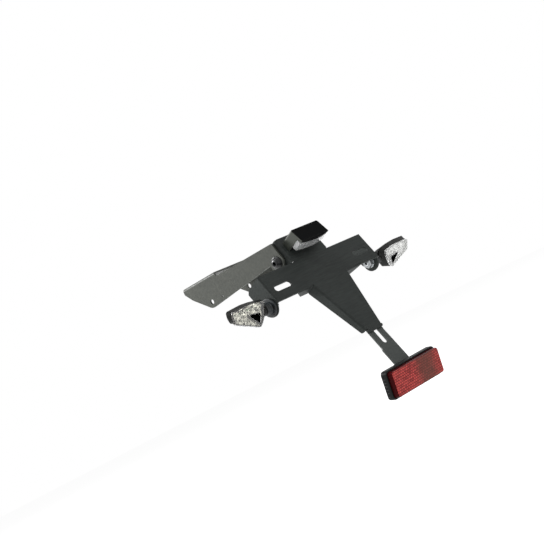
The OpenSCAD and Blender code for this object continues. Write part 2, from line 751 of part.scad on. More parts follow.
module reflector_strip() {
    down = [-cos(reflector_turn), -sin(reflector_turn)];
    out = [-sin(reflector_turn), cos(reflector_turn)];
    bend_face = [-strip_bend, strip_face];
    bend_back = [-strip_bend + sheet_t * tan(reflector_turn / 2), strip_back];
    foot_face = bend_face + down * strip_foot;
    foot_back = foot_face - out * sheet_t;
    half = strip_w / 2;
    low = strip_low_w / 2;
    color("#434746") on_carrier() difference() {
        intersection() {
            side_prism(rounded([
                [-strip_top, strip_face, 0], [bend_face[0], bend_face[1], bend_out + 2],
                [foot_face[0], foot_face[1], 0], [foot_back[0], foot_back[1], 0],
                [bend_back[0], bend_back[1], bend_in + 2], [-strip_top, strip_back, 0]]), wing_w);
            translate([0, 0, -strip_foot * 2]) linear_extrude(strip_foot * 3) polygon(rounded([
                [-half, -strip_top, 3], [half, -strip_top, 3], [half, -stem_end - 2, 0],
                [low - 0.4, -strip_bend, 0], [low - 0.4, strip_below, 0], [-low, strip_below, 0],
                [-low, strip_slot_end - 7.5, 2], [-half, strip_slot_end - 3.5, 2]]));
        }
        translate([0, (strip_slot_end + strip_slot_top) / 2, 0]) rotate([0, 0, 90])
            slot_cut(strip_slot_top - strip_slot_end, strip_slot_w, -20, 5);
        on_reflector() translate([0, 0, -strip_foot])
            cylinder(d = reflector_stud_d + 2 * seat_gap, h = strip_foot * 2);
    }
}

/* Reflector: a housing with a red lens, held by one stud through the foot */

reflector_stud_d = 5;

// Places the reflector's pieces: the origin is the middle of the housing's
// back, Y up and Z to the rear
module on_reflector() {
    translate([0, -strip_bend, strip_face]) rotate([reflector_turn, 0, 0])
        translate([0, -strip_foot * 0.5, seat_gap]) children();
}

module reflector_housing() {
    w = reflector_w;
    h = reflector_h;
    color("#151616") on_carrier() on_reflector() difference() {
        linear_extrude(reflector_deep) rounded_rect(w, h, 5);
        translate([0, 0, 2]) linear_extrude(reflector_deep) rounded_rect(w - 2 * rim_w, h - 2 * rim_w, 3.5);
        translate([0, 0, -1]) cylinder(d = reflector_stud_d + 2 * seat_gap, h = 5);
    }
}

module reflector_lens() {
    w = reflector_w - 2 * rim_w - 2 * seat_gap;
    h = reflector_h - 2 * rim_w - 2 * seat_gap;
    color("#a02a2c") on_carrier() on_reflector() difference() {
        translate([0, 0, 2 + seat_gap]) hull() {
            linear_extrude(reflector_deep - 2) rounded_rect(w, h, 3.5);
            translate([0, 0, reflector_deep + lens_deep - 3]) linear_extrude(1)
                rounded_rect(w - 1.6, h - 1.6, 3);
        }
        linear_extrude(reflector_deep + lens_deep - 3) rounded_rect(w - 5, h - 5, 2.5);
    }
}

module reflector_stud() {
    color("#9da1a3") on_carrier() on_reflector() {
        translate([0, 0, -sheet_t - 8]) cylinder(d = reflector_stud_d, h = sheet_t + 10 + seat_gap);
        translate([0, 0, 2 + seat_gap]) hexagon(8, 3);
    }
}

module reflector_washer() {
    color("#b9bdbe") on_carrier() on_reflector() translate([0, 0, -sheet_t - 2 * seat_gap - 1])
        washer(reflector_stud_d + 2 * seat_gap, 10, 1);
}

module reflector_nut() {
    color("#9da1a3") on_carrier() on_reflector() translate([0, 0, -sheet_t - 2 * seat_gap - 1])
        mirror([0, 0, 1]) flange_nut(reflector_stud_d, 8, 5, 11);
}

undertail_bracket();
tilt_bolts();
tilt_washers();
tilt_nuts();
plate_carrier();
lamp_cover();
lamp_lens();
lamp_board();
lamp_leds();
lamp_screws();
housing(-1);  // left_housing
reflector_insert(-1);  // left_reflector
led_board(-1);  // left_board
indicator_lens(-1);  // left_lens
stalk(-1);  // left_stalk
ring(-1);  // left_ring
stud(-1);  // left_stud
hub_washer(-1);  // left_washer
hub_nut(-1);  // left_nut
housing(1);  // right_housing
reflector_insert(1);  // right_reflector
led_board(1);  // right_board
indicator_lens(1);  // right_lens
stalk(1);  // right_stalk
ring(1);  // right_ring
stud(1);  // right_stud
hub_washer(1);  // right_washer
hub_nut(1);  // right_nut
strip_studs();
strip_washers();
strip_nuts();
reflector_strip();
reflector_housing();
reflector_lens();
reflector_stud();
reflector_washer();
reflector_nut();
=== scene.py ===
"""Dresses the tail tidy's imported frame, for its picture and its export.

Every size is in millimetres until a piece is finished, when its mesh is placed
in the frame's own metres. The frame says where the joints and bodies are.
"""

import logging
import math
from dataclasses import dataclass
from enum import Enum
from typing import Callable, Optional, Sequence

import bmesh
import bpy
from mathutils import Matrix, Vector, geometry


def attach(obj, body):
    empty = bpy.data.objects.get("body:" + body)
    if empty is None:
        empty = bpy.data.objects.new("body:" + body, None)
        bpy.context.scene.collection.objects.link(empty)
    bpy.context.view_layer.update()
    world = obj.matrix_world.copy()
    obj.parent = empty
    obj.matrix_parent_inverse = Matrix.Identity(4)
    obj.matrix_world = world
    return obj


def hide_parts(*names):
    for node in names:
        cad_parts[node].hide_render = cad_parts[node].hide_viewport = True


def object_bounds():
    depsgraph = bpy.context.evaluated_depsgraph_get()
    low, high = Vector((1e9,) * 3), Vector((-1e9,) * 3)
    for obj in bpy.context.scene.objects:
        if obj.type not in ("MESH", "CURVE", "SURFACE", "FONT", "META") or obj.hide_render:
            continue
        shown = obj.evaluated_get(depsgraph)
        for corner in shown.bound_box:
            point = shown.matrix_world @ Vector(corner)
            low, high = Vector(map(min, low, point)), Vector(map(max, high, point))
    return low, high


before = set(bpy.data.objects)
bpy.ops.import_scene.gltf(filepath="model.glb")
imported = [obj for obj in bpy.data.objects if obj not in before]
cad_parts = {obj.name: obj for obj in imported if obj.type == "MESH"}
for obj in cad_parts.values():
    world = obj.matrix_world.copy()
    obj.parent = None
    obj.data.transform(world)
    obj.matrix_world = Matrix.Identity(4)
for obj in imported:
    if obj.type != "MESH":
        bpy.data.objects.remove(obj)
CAD_BOX = [list(corner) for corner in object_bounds()]

log = logging.getLogger("tail_tidy")
MM = 0.001
HERE = Matrix.Identity(4)
Outline = list[Vector]
Piece = bpy.types.Object
Mesh = bpy.types.Mesh
Tree = bpy.types.NodeTree
Output = bpy.types.NodeSocket


class Side(Enum):
    """The two sides of the bike that an indicator can be on."""

    LEFT = -1
    RIGHT = 1

    @property
    def word(self) -> str:
        """Return the side's name as the nodes and bodies spell it."""
        return self.name.lower()

    @property
    def mirror(self) -> Matrix:
        """Return the matrix that puts a right-hand form on this side."""
        return Matrix.Diagonal((self.value, 1, 1, 1))


class Socket(Enum):
    """The kinds of input that a Geometry Nodes tree of this file takes."""

    SHAPE = "NodeSocketGeometry"
    LENGTH = "NodeSocketFloat"
    COUNT = "NodeSocketInt"
    FINISH = "NodeSocketMaterial"
    PIECE = "NodeSocketObject"


class Way(Enum):
    """What a tool's mesh does to the piece that it meets."""

    CUT = "DIFFERENCE"
    WELD = "UNION"


# Nodes


def linear(hex_colour: str) -> tuple[float, float, float, float]:
    """Turn an sRGB hex colour into Blender's linear colour.

    Args:
        hex_colour: the colour as "#rrggbb".

    Returns:
        Linear red, green, blue and an alpha of 1.
    """
    parts = [int(hex_colour[i:i + 2], 16) / 255 for i in (1, 3, 5)]
    turned = [c / 12.92 if c <= 0.04045 else ((c + 0.055) / 1.055) ** 2.4 for c in parts]
    return (turned[0], turned[1], turned[2], 1.0)


def emptied(owner: bpy.types.ID) -> Tree:
    """Give a material or a world an empty node tree.

    Args:
        owner: the material or world.

    Returns:
        Its tree.
    """
    owner.use_nodes = True
    owner.node_tree.nodes.clear()
    return owner.node_tree


def add_node(tree: Tree, kind: str, settings: Optional[dict] = None,
             links: Optional[dict] = None) -> bpy.types.Node:
    """Add one node with its settings and links.

    Args:
        tree: the tree that gets the node.
        kind: the node's type name.
        settings: values by property name, or by input name or number.
        links: output sockets by the input name or number that they feed.

    Returns:
        The new node.
    """
    node = tree.nodes.new(kind)
    for key, value in (settings or {}).items():
        if isinstance(key, str) and hasattr(node, key):
            setattr(node, key, value)
        else:
            node.inputs[key].default_value = value
    for key, output in (links or {}).items():
        tree.links.new(output, node.inputs[key])
    return node


@dataclass(frozen=True)
class Surface:
    """A material in the making: its tree, its Principled shader and the
    Object coordinates that its patterns lie on."""

    tree: Tree
    shader: bpy.types.Node
    place: Output

    def noise(self, size_mm: float, detail: float, roughness: float = 0.5,
              place: Optional[Output] = None) -> Output:
        """Add a cloud of spots.

        Args:
            size_mm: the spots' size.
            detail: how many finer layers they have.
            roughness: how strong these layers are.
            place: other coordinates than the Object's.

        Returns:
            The cloud's value.
        """
        settings = {"Scale": 1000 / size_mm, "Detail": detail, "Roughness": roughness}
        return add_node(self.tree, "ShaderNodeTexNoise", settings,
                        {"Vector": self.place if place is None else place}).outputs["Fac"]

    def blend(self, first: Output, second: Output, share: float) -> Output:
        """Mix two values by the second one's share."""
        return add_node(self.tree, "ShaderNodeMix", {"data_type": "FLOAT", 0: share},
                        {2: first, 3: second}).outputs[0]

    def tint(self, value: Output, *stops: tuple[float, str]) -> Output:
        """Turn a value into a colour between two.

        Args:
            value: the value.
            stops: two pairs of a value and its sRGB hex colour.

        Returns:
            The colour.
        """
        ramp = add_node(self.tree, "ShaderNodeValToRGB", links={"Fac": value})
        for element, (position, colour) in zip(ramp.color_ramp.elements, stops):
            element.position = position
            element.color = linear(colour)
        return ramp.outputs[0]

    def feed(self, name: str, value: Output) -> None:
        """Link a value to one of the shader's inputs."""
        self.tree.links.new(value, self.shader.inputs[name])

    def bump(self, height: Output, strength: float, depth_mm: float) -> None:
        """Raise the surface by a value, up to a depth."""
        self.feed("Normal", add_node(self.tree, "ShaderNodeBump", {
            "Strength": strength, "Distance": depth_mm * MM}, {"Height": height}).outputs[0])

    def roughen(self, value: Output, span: tuple[float, float], low: float, high: float) -> None:
        """Let the roughness run from low to high as a value runs over a span."""
        limits = {"From Min": span[0], "From Max": span[1], "To Min": low, "To Max": high}
        self.feed("Roughness", add_node(self.tree, "ShaderNodeMapRange", limits, {"Value": value}).outputs[0])


# Finishes


@dataclass(frozen=True)
class Finish:
    """A surface as its maker would order it; each kind adds its own pattern."""

    name: str
    slot: str
    colour: str
    roughness: float
    metallic: float = 0.0
    gloss: float = 0.5

    def material(self) -> bpy.types.Material:
        """Return this finish's material, which is made the first time.

        Returns:
            The material.
        """
        made = bpy.data.materials.get(self.name)
        if made is None:
            made = bpy.data.materials.new(self.name)
            tree = emptied(made)
            shader = add_node(tree, "ShaderNodeBsdfPrincipled", {
                "Base Color": linear(self.colour), "Roughness": self.roughness,
                "Metallic": self.metallic, "Specular IOR Level": self.gloss})
            add_node(tree, "ShaderNodeOutputMaterial", links={"Surface": shader.outputs[0]})
            self.pattern(Surface(tree, shader, add_node(tree, "ShaderNodeTexCoord").outputs["Object"]))
        return made

    def pattern(self, surface: Surface) -> None:
        """Add what the eye sees beyond a flat colour; each finish has its own."""
        raise NotImplementedError


@dataclass(frozen=True)
class PowderCoat(Finish):
    """Satin powder coat on steel: orange peel of about 1.6 mm, with the rub
    marks and dust that show on a dark coat as long, paler streaks."""

    peel_mm: float = 1.6
    streak_mm: float = 2.2
    drawn_out: float = 9.0
    cloud_mm: float = 55.0
    pale: str = "#4c504e"

    def pattern(self, surface: Surface) -> None:
        """Add orange peel, fine streaks along the bend and a faint cloud.

        Args:
            surface: the material in the making.
        """
        thin = (1.0, self.drawn_out, self.drawn_out)
        along = add_node(surface.tree, "ShaderNodeMapping", {"Scale": thin}, {"Vector": surface.place})
        streaks = surface.noise(self.drawn_out * self.streak_mm, detail=5.0, roughness=0.62,
                                place=along.outputs[0])
        mixed = surface.blend(streaks, surface.noise(self.cloud_mm, detail=3.0), share=0.35)
        surface.feed("Base Color", surface.tint(mixed, (0.30, self.colour), (0.72, self.pale)))
        surface.bump(surface.noise(self.peel_mm, detail=2.0), strength=0.10, depth_mm=0.4)
        surface.roughen(streaks, (0.3, 0.7), self.roughness - 0.05, self.roughness + 0.1)


@dataclass(frozen=True)
class MouldedPlastic(Finish):
    """Moulded plastic with a fine spark-eroded grain, which scatters the light
    into a soft sheen, and faint wear where hands rub it."""

    grain_mm: float = 0.9
    grain_depth: float = 0.25
    rubbed_mm: float = 14.0

    def pattern(self, surface: Surface) -> None:
        """Add the tool's grain and a cloud of rubbed spots.

        Args:
            surface: the material in the making.
        """
        surface.bump(surface.noise(self.grain_mm, detail=3.0, roughness=0.6), self.grain_depth, depth_mm=0.2)
        rubbed = surface.noise(self.rubbed_mm, detail=4.0)
        surface.roughen(rubbed, (0.35, 0.75), self.roughness, self.roughness - 0.12)


@dataclass(frozen=True)
class MouldedRubber(Finish):
    """Moulded rubber: a leathery grain, and a dusty bloom in patches, tinted
    blue-grey: partly real dust, partly a painted sheen.
    """

    # Partly real dust bloom, partly a painted blue-grey sheen.
    bloom: str = "#2d3539"
    bloom_mm: float = 6.0
    grain_mm: float = 0.8

    def pattern(self, surface: Surface) -> None:
        """Add the bloom, partly a painted sheen, and the grain.

        Args:
            surface: the material in the making.
        """
        # The patches are part dust and part painted sheen.
        dust = surface.noise(self.bloom_mm, detail=5.0)
        surface.feed("Base Color", surface.tint(dust, (0.42, self.colour), (0.80, self.bloom)))
        grain = add_node(surface.tree, "ShaderNodeTexVoronoi", {"Scale": 1000 / self.grain_mm},
                         {"Vector": surface.place})
        surface.bump(grain.outputs["Distance"], strength=0.2, depth_mm=0.2)


@dataclass(frozen=True)
class TurnedSteel(Finish):
    """Plated or blackened steel from a cold header: fine tool marks and
    patches of duller plating."""

    mark_mm: float = 0.5
    cloud_mm: float = 5.0
    dull: str = "#7b7f81"

    def pattern(self, surface: Surface) -> None:
        """Add tool marks and the plating's clouds.

        Args:
            surface: the material in the making.
        """
        surface.bump(surface.noise(self.mark_mm, detail=2.0), strength=0.12, depth_mm=0.1)
        cloud = surface.noise(self.cloud_mm, detail=4.0)
        surface.feed("Base Color", surface.tint(cloud, (0.35, self.colour), (0.75, self.dull)))
        surface.roughen(cloud, (0.3, 0.7), self.roughness - 0.06, self.roughness + 0.1)


@dataclass(frozen=True)
class ClearLens(Finish):
    """Clear moulded acrylic: bright, with faint flow waves that bend what is
    seen through it. A hazed one lets less through and bends it less."""

    wave_mm: float = 5.0
    see_through: float = 1.0
    ior: float = 1.49

    def pattern(self, surface: Surface) -> None:
        """Let the light through and add the flow waves.

        Args:
            surface: the material in the making.
        """
        surface.shader.inputs["Transmission Weight"].default_value = self.see_through
        surface.shader.inputs["IOR"].default_value = self.ior
        surface.bump(surface.noise(self.wave_mm, detail=1.0), strength=0.1, depth_mm=0.2)


@dataclass(frozen=True)
class PlatedFacets(Finish):
    """Vacuum plated plastic, nearly a mirror: each facet gets a random tone
    between a dull and a bright colour, a painted reflection of another part
    of the room, so some look bright and some look dull."""

    # The dull end of the facets' painted reflection.
    mist: str = "#b9bab6"
    mist_mm: float = 7.0

    def pattern(self, surface: Surface) -> None:
        """Add each facet's painted reflection, a random tone per face, and a faint cloud over the plating.

        Args:
            surface: the material in the making.
        """
        # Painted reflection: each facet's random tone picks its colour between the dull and the bright one.
        glint = add_node(surface.tree, "ShaderNodeAttribute", {"attribute_name": "glint"}).outputs["Fac"]
        tone = surface.blend(glint, surface.noise(self.mist_mm, detail=3.0), share=0.35)
        surface.feed("Base Color", surface.tint(tone, (0.22, self.mist), (0.62, self.colour)))


@dataclass(frozen=True)
class RedPrism(Finish):
    """Red acrylic moulded over rows of corner prisms: the light that each prism
    catches is painted as a bright dot, with painted shade between the dots,
    under a glossy front.
    The real prisms are 2.4 mm; they are drawn a little coarser to show."""

    prism_mm: float = 3.8
    # The painted shade between the prisms' painted glints.
    deep: str = "#661a1c"
    # The turned field's painted reflection, a browner colour.
    brown: str = "#66453a"
    brown_at: float = 0.018
    brown_half: float = 0.030
    brown_share: float = 0.75

    def pattern(self, surface: Surface) -> None:
        """Add the rows of prisms as painted glints, and the field turned the other
        way, whose duller reflection is painted as a browner band, on the
        piece's own map in metres.

        Args:
            surface: the material in the making.
        """
        tree = surface.tree
        own = add_node(tree, "ShaderNodeUVMap", {"uv_map": "own"}).outputs[0]
        # Painted glints: each prism's catch of the light is painted as a brighter dot.
        rows = add_node(tree, "ShaderNodeTexBrick", {
            "offset": 0.5, "Scale": 1000 / self.prism_mm, "Brick Width": 1.0, "Row Height": 0.8,
            "Mortar Size": 0.2, "Mortar Smooth": 1.0, "Mortar": (0, 0, 0, 1),
            "Color1": (0.3, 0.3, 0.3, 1), "Color2": (1, 1, 1, 1)}, {"Vector": own}).outputs["Color"]
        # Painted reflection: a band across the face is painted browner for the turned field.
        across = add_node(tree, "ShaderNodeSeparateXYZ", links={"Vector": own}).outputs["X"]
        off = add_node(tree, "ShaderNodeMath", {"operation": "SUBTRACT", 1: self.brown_at}, {0: across})
        away = add_node(tree, "ShaderNodeMath", {"operation": "ABSOLUTE"}, {0: off.outputs[0]})
        part = add_node(tree, "ShaderNodeMapRange", {
            "interpolation_type": "SMOOTHSTEP", "From Min": self.brown_half,
            "From Max": 0.2 * self.brown_half, "To Max": self.brown_share}, {"Value": away.outputs[0]})
        dots = surface.tint(rows, (0.0, self.deep), (0.62, self.colour))
        both = add_node(tree, "ShaderNodeMix", {"data_type": "RGBA", 7: linear(self.brown)},
                        {0: part.outputs[0], 6: dots})
        surface.feed("Base Color", both.outputs[2])
        surface.bump(rows, strength=0.35, depth_mm=0.3)
        surface.shader.inputs["Coat Weight"].default_value = 0.08
        surface.shader.inputs["Coat Roughness"].default_value = 0.06


@dataclass(frozen=True)
class CircuitBoard(Finish):
    """Solder-masked circuit board with paler copper runs beneath the mask."""

    copper: str = "#4d8a55"
    run_mm: float = 12.0

    def pattern(self, surface: Surface) -> None:
        """Add the runs of copper.

        Args:
            surface: the material in the making.
        """
        runs = add_node(surface.tree, "ShaderNodeTexBrick", {
            "Scale": 1000 / self.run_mm, "Color1": linear(self.colour), "Color2": linear(self.colour),
            "Mortar": linear(self.copper), "Mortar Size": 0.04}, {"Vector": surface.place})
        surface.feed("Base Color", runs.outputs["Color"])


COAT = PowderCoat("satin_powder_coat", "powder_coat", "#2b2e2d", 0.50, gloss=0.1, pale="#434745")
BRACKET_COAT = PowderCoat("bracket_powder_coat", "powder_coat", "#3f413d", 0.46, gloss=0.22, streak_mm=3.5,
                          pale="#51534d")
STRIP_COAT = PowderCoat("strip_powder_coat", "powder_coat", "#464a48", 0.50, gloss=0.2, pale="#555957")
BLACK_BOLT = TurnedSteel("blackened_steel", "black_steel", "#141516", 0.30, gloss=0.35, dull="#1e2021")
ZINC = TurnedSteel("zinc_plated_steel", "zinc_steel", "#b4b7b8", 0.28, metallic=1.0, dull="#83878a")
LAMP_BLACK = MouldedPlastic("grained_lamp_plastic", "black_plastic", "#42453f", 0.55, gloss=0.2)
# Painted shade: a darker copy of the lamp's plastic for the cover's top and front.
LAMP_TOP_SHADE = MouldedPlastic("polished_lamp_plastic", "black_plastic", "#212222", 0.4, gloss=0.0,
                          grain_depth=0.05)
SHELL_BLACK = MouldedPlastic("black_indicator_plastic", "black_plastic", "#171816", 0.48, gloss=0.15)
# Painted shade: a darker, matt copy of the shell's plastic for the opening's walls.
TUNNEL_SHADE = MouldedPlastic("matt_tunnel_plastic", "black_plastic", "#0c0c0c", 0.6, gloss=0.0)
HOUSING_BLACK = MouldedPlastic("black_reflector_plastic", "black_plastic", "#101111", 0.5, gloss=0.1)
NYLON = MouldedPlastic("black_nylon", "black_plastic", "#121313", 0.5, gloss=0.2)
RUBBER = MouldedRubber("moulded_rubber", "soft_rubber", "#101314", 0.52, gloss=0.4)
CLEAR = ClearLens("clear_acrylic", "clear_plastic", "#ffffff", 0.03)
CLEAR_HAZED = ClearLens("clear_acrylic_hazed", "clear_plastic", "#ffffff", 0.05, see_through=0.8, ior=1.28)
LAMP_CLEAR = ClearLens("clear_lamp_acrylic", "clear_plastic", "#f9fafa", 0.08, see_through=0.7)
PLATED = PlatedFacets("plated_facets", "plated_plastic", "#e6e7e4", 0.34, metallic=1.0)
# Painted reflection: a darker, warmer copy of the plating for the left insert, whose facets look duller.
PLATED_PAINTED_DULL = PlatedFacets("plated_facets_warm", "plated_plastic", "#b8b7aa", 0.18, metallic=1.0,
                           mist="#3a3832")
RED = RedPrism("red_prism_acrylic", "red_plastic", "#e05a55", 0.36, gloss=0.06)
# Painted shade: the same red acrylic drawn much darker on the lens's sides.
RED_SIDE_SHADE = MouldedPlastic("red_acrylic_edge", "red_plastic", "#470a0d", 0.25, gloss=0.03, grain_depth=0.02)
BOARD = CircuitBoard("solder_mask", "circuit_board", "#2f5d3a", 0.4)
LED = MouldedPlastic("led_resin", "led_plastic", "#f2efd8", 0.25)


# Outlines


def circle(radius: float, steps: int, height: float = 0.0) -> list[Vector]:
    """Return points on a circle round the Z axis, at a height."""
    turns = [2 * math.pi * i / steps for i in range(steps)]
    return [Vector((radius * math.cos(a), radius * math.sin(a), height)) for a in turns]


def rounded(points: Sequence[tuple[float, float, float]], steps: int = 6) -> Outline:
    """Round an outline's corners with true arcs.

    Args:
        points: corners as x, y and radius.
        steps: segments in each arc.

    Returns:
        The rounded outline, in the order of its corners.
    """
    made: Outline = []
    for i, (x, y, radius) in enumerate(points):
        here = Vector((x, y))
        back = (Vector(points[i - 1][:2]) - here).normalized()
        ahead = (Vector(points[(i + 1) % len(points)][:2]) - here).normalized()
        half = math.acos(max(-1.0, min(1.0, back.dot(ahead)))) / 2
        centre = here + (back + ahead).normalized() * radius / math.sin(half)
        start = here + back * radius / math.tan(half) - centre
        end = here + ahead * radius / math.tan(half) - centre
        first = math.atan2(start.y, start.x)
        turn = (math.atan2(end.y, end.x) - first + math.pi) % (2 * math.pi) - math.pi
        for step in range(steps + 1):
            angle = first + turn * step / steps
            made.append(centre + radius * Vector((math.cos(angle), math.sin(angle))))
    return made


def evenly(outline: Outline, count: int, start: float) -> Outline:
    """Space an outline's points evenly, so that two outlines can be lofted.

    Args:
        outline: a closed outline.
        count: the number of points wanted.
        start: direction from the middle, in degrees, where the first one lies.

    Returns:
        The evenly spaced outline, anticlockwise.
    """
    middle = Vector((sum(p.x for p in outline) / len(outline), sum(p.y for p in outline) / len(outline)))
    area = sum(a.cross(b) for a, b in zip(outline, outline[1:] + outline[:1]))
    ordered = outline if area > 0 else outline[::-1]
    spoke = Vector((math.cos(math.radians(start)), math.sin(math.radians(start))))
    first, begin = 0, ordered[0]
    for i, point in enumerate(ordered):
        here, ahead = point - middle, ordered[(i + 1) % len(ordered)] - middle
        before, after = spoke.cross(here), spoke.cross(ahead)
        if before < 0 <= after and spoke.dot(here + ahead) > 0:
            first, begin = i + 1, point.lerp(ordered[(i + 1) % len(ordered)], before / (before - after))
    loop = [begin, *ordered[first:], *ordered[:first], begin]
    lengths = [0.0]
    for a, b in zip(loop, loop[1:]):
        lengths.append(lengths[-1] + (b - a).length)
    made: Outline = []
    segment = 0
    for i in range(count):
        want = lengths[-1] * i / count
        while lengths[segment + 1] < want:
            segment += 1
        span = lengths[segment + 1] - lengths[segment]
        made.append(loop[segment].lerp(loop[segment + 1], (want - lengths[segment]) / span if span else 0.0))
    return made


def box_outline(width: float, height: float, radius: float) -> Outline:
    """Return a rectangle round the origin with rounded corners."""
    x, y = width / 2, height / 2
    return rounded([(x, y, radius), (-x, y, radius), (-x, -y, radius), (x, -y, radius)])


def inside(point: Vector, loop: Outline) -> bool:
    """Tell whether a point's X and Y lie in a closed outline.

    Args:
        point: the point.
        loop: the outline.

    Returns:
        True where the point lies inside.
    """
    odd = False
    for a, b in zip(loop, loop[1:] + loop[:1]):
        if (a.y > point.y) != (b.y > point.y):
            odd ^= point.x < (b.x - a.x) * (point.y - a.y) / (b.y - a.y) + a.x
    return odd


# Meshes


class Form:
    """A mesh in the making, in millimetres and in its own axes."""

    def __init__(self) -> None:
        """Start with nothing."""
        self.bm = bmesh.new()

    def loft(self, rings: Sequence[Sequence[Vector]], loop: bool = False) -> "Form":
        """Join closed rings of equal length by quads.

        Args:
            rings: the rings, each a closed run of points.
            loop: join the last ring to the first one, and leave out the ends' faces.

        Returns:
            This form.
        """
        rows = [[self.bm.verts.new(point) for point in ring] for ring in rings]
        pairs = list(zip(rows, rows[1:])) + ([(rows[-1], rows[0])] if loop else [])
        for low, high in pairs:
            for i in range(len(low)):
                j = (i + 1) % len(low)
                self.bm.faces.new((low[i], low[j], high[j], high[i]))
        if not loop:
            self.bm.faces.new(rows[0][::-1])
            self.bm.faces.new(rows[-1])
        return self

    def layers(self, outlines: Sequence[tuple[Outline, float]], count: int = 0) -> "Form":
        """Loft outlines that lie at heights.

        Args:
            outlines: pairs of an outline and its height.
            count: points to space each outline to, or 0 to keep them.

        Returns:
            This form.
        """
        spaced = [(evenly(o, count, 90.0) if count else o, z) for o, z in outlines]
        return self.loft([[Vector((p.x, p.y, z)) for p in o] for o, z in spaced])

    def turned(self, profile: Sequence[tuple[float, float]], steps: int = 48, closed: bool = False) -> "Form":
        """Turn a profile round the Z axis.

        Args:
            profile: points as radius and height; a radius of 0 makes a pole.
            steps: facets round the axis.
            closed: the profile is a closed loop, as for a washer.

        Returns:
            This form.
        """
        pole, merge = 1e-4, 1e-3
        self.loft([circle(max(radius, pole), steps, z) for radius, z in profile], loop=closed)
        bmesh.ops.remove_doubles(self.bm, verts=self.bm.verts, dist=merge)
        return self

    def thread(self, diameter: float, low: float, high: float, pitch: float) -> "Form":
        """Add a rod with a helical thread and chamfered ends.

        Args:
            diameter: the thread's outer diameter.
            low: height of its lower end.
            high: height of its upper end.
            pitch: distance between two crests.

        Returns:
            This form.
        """
        steps, per_turn, depth, crest, core = 20, 5, 0.55, 0.8, 0.55
        rows = max(2, int((high - low) / pitch * per_turn))
        rings = []
        for row in range(rows + 1):
            z = low + (high - low) * row / rows
            chamfer = min(1.0, core + min(z - low, high - z) / (0.8 * pitch))
            ring = []
            for i, point in enumerate(circle(1.0, steps)):
                phase = (z / pitch - i / steps) % 1.0
                radius = (diameter / 2 - depth * pitch * abs(2 * phase - 1) ** crest) * chamfer
                ring.append(Vector((radius * point.x, radius * point.y, z)))
            rings.append(ring)
        return self.loft(rings)

    def sheet(self, outline: Outline, hole: Outline, spacing: float, height: float) -> "Form":
        """Add a flat sheet of small triangles.

        Args:
            outline: the sheet's edge.
            hole: the outline that stays open.
            spacing: the triangles' size.
            height: where the sheet lies along Z.

        Returns:
            This form.
        """
        row_step, clear = 0.87 * spacing, 0.4 * spacing
        rim = [*outline, *hole]
        edges = [(i, (i + 1) % len(outline)) for i in range(len(outline))]
        edges += [(len(outline) + i, len(outline) + (i + 1) % len(hole)) for i in range(len(hole))]
        xs, ys = [p.x for p in outline], [p.y for p in outline]
        corner = Vector((min(xs), min(ys)))
        points = [p.copy() for p in rim]
        for row in range(int((max(ys) - min(ys)) / row_step) + 1):
            for column in range(int((max(xs) - min(xs)) / spacing) + 1):
                point = corner + Vector(((column + 0.5 * (row % 2)) * spacing, row * row_step))
                free = all((point - q).length > clear for q in rim)
                if free and inside(point, outline) and not inside(point, hole):
                    points.append(point)
        found, _, faces, *_ = geometry.delaunay_2d_cdt(points, edges, [], 0, 1e-5)
        verts = [self.bm.verts.new((p.x, p.y, height)) for p in found]
        for face in faces:
            middle = sum((found[i] for i in face), Vector((0.0, 0.0))) / len(face)
            if inside(middle, outline) and not inside(middle, hole):
                self.bm.faces.new([verts[i] for i in face])
        return self

    def mesh(self, name: str, place: Matrix = HERE) -> Mesh:
        """Place the form in the frame and turn it into a mesh.

        Args:
            name: the mesh's name.
            place: where its own axes lie in the frame, in millimetres.

        Returns:
            The mesh, in metres, with its faces pointing outwards.
        """
        bmesh.ops.transform(self.bm, matrix=Matrix.Scale(MM, 4) @ place, verts=self.bm.verts)
        bmesh.ops.recalc_face_normals(self.bm, faces=self.bm.faces)
        made = bpy.data.meshes.new(name)
        self.bm.to_mesh(made)
        self.bm.free()
        return made

    def piece(self, name: str, place: Matrix = HERE) -> Piece:
        """Place the form in the frame and turn it into an object."""
        return put(name, self.mesh(name, place))


def put(name: str, mesh: Mesh) -> Piece:
    """Link a mesh to the scene as an object at the origin.

    Args:
        name: the object's name.
        mesh: its mesh.

    Returns:
        The object.
    """
    made = bpy.data.objects.new(name, mesh)
    bpy.context.scene.collection.objects.link(made)
    return made


def mesh_of(obj: Piece) -> Mesh:
    """Take an object's mesh and remove the object.

    Args:
        obj: the object.

    Returns:
        Its mesh.
    """
    mesh = obj.data
    bpy.data.objects.remove(obj)
    return mesh


def bake(obj: Piece) -> Piece:
    """Turn an object's modifiers into its plain mesh.

    Args:
        obj: the object, whose modifiers are taken off.

    Returns:
        The same object.
    """
    depsgraph = bpy.context.evaluated_depsgraph_get()
    plain = bpy.data.meshes.new_from_object(obj.evaluated_get(depsgraph))
    obj.modifiers.clear()
    obj.data = plain
    return obj


def soften(obj: Piece, width: float, angle: float = 30.0, segments: int = 2) -> Piece:
    """Break an object's sharp outer edges as a deburring or a mould does.

    Args:
        obj: the object.
        width: the broken edge's width in millimetres.
        angle: edges sharper than this are broken.
        segments: steps across the edge.

    Returns:
        The same object, with the edges in its mesh.
    """
    bm = bmesh.new()
    bm.from_mesh(obj.data)
    weight = bm.edges.layers.float.new("bevel_weight_edge")
    for edge in bm.edges:
        if edge.is_manifold and edge.calc_face_angle_signed(0.0) > math.radians(angle):
            edge[weight] = 1.0
    bm.to_mesh(obj.data)
    bm.free()
    bevel = obj.modifiers.new("broken_edges", "BEVEL")
    bevel.width = width * MM
    bevel.segments = segments
    bevel.limit_method = "WEIGHT"
    bevel.harden_normals = False
    bevel.miter_outer = "MITER_ARC"
    return bake(obj)


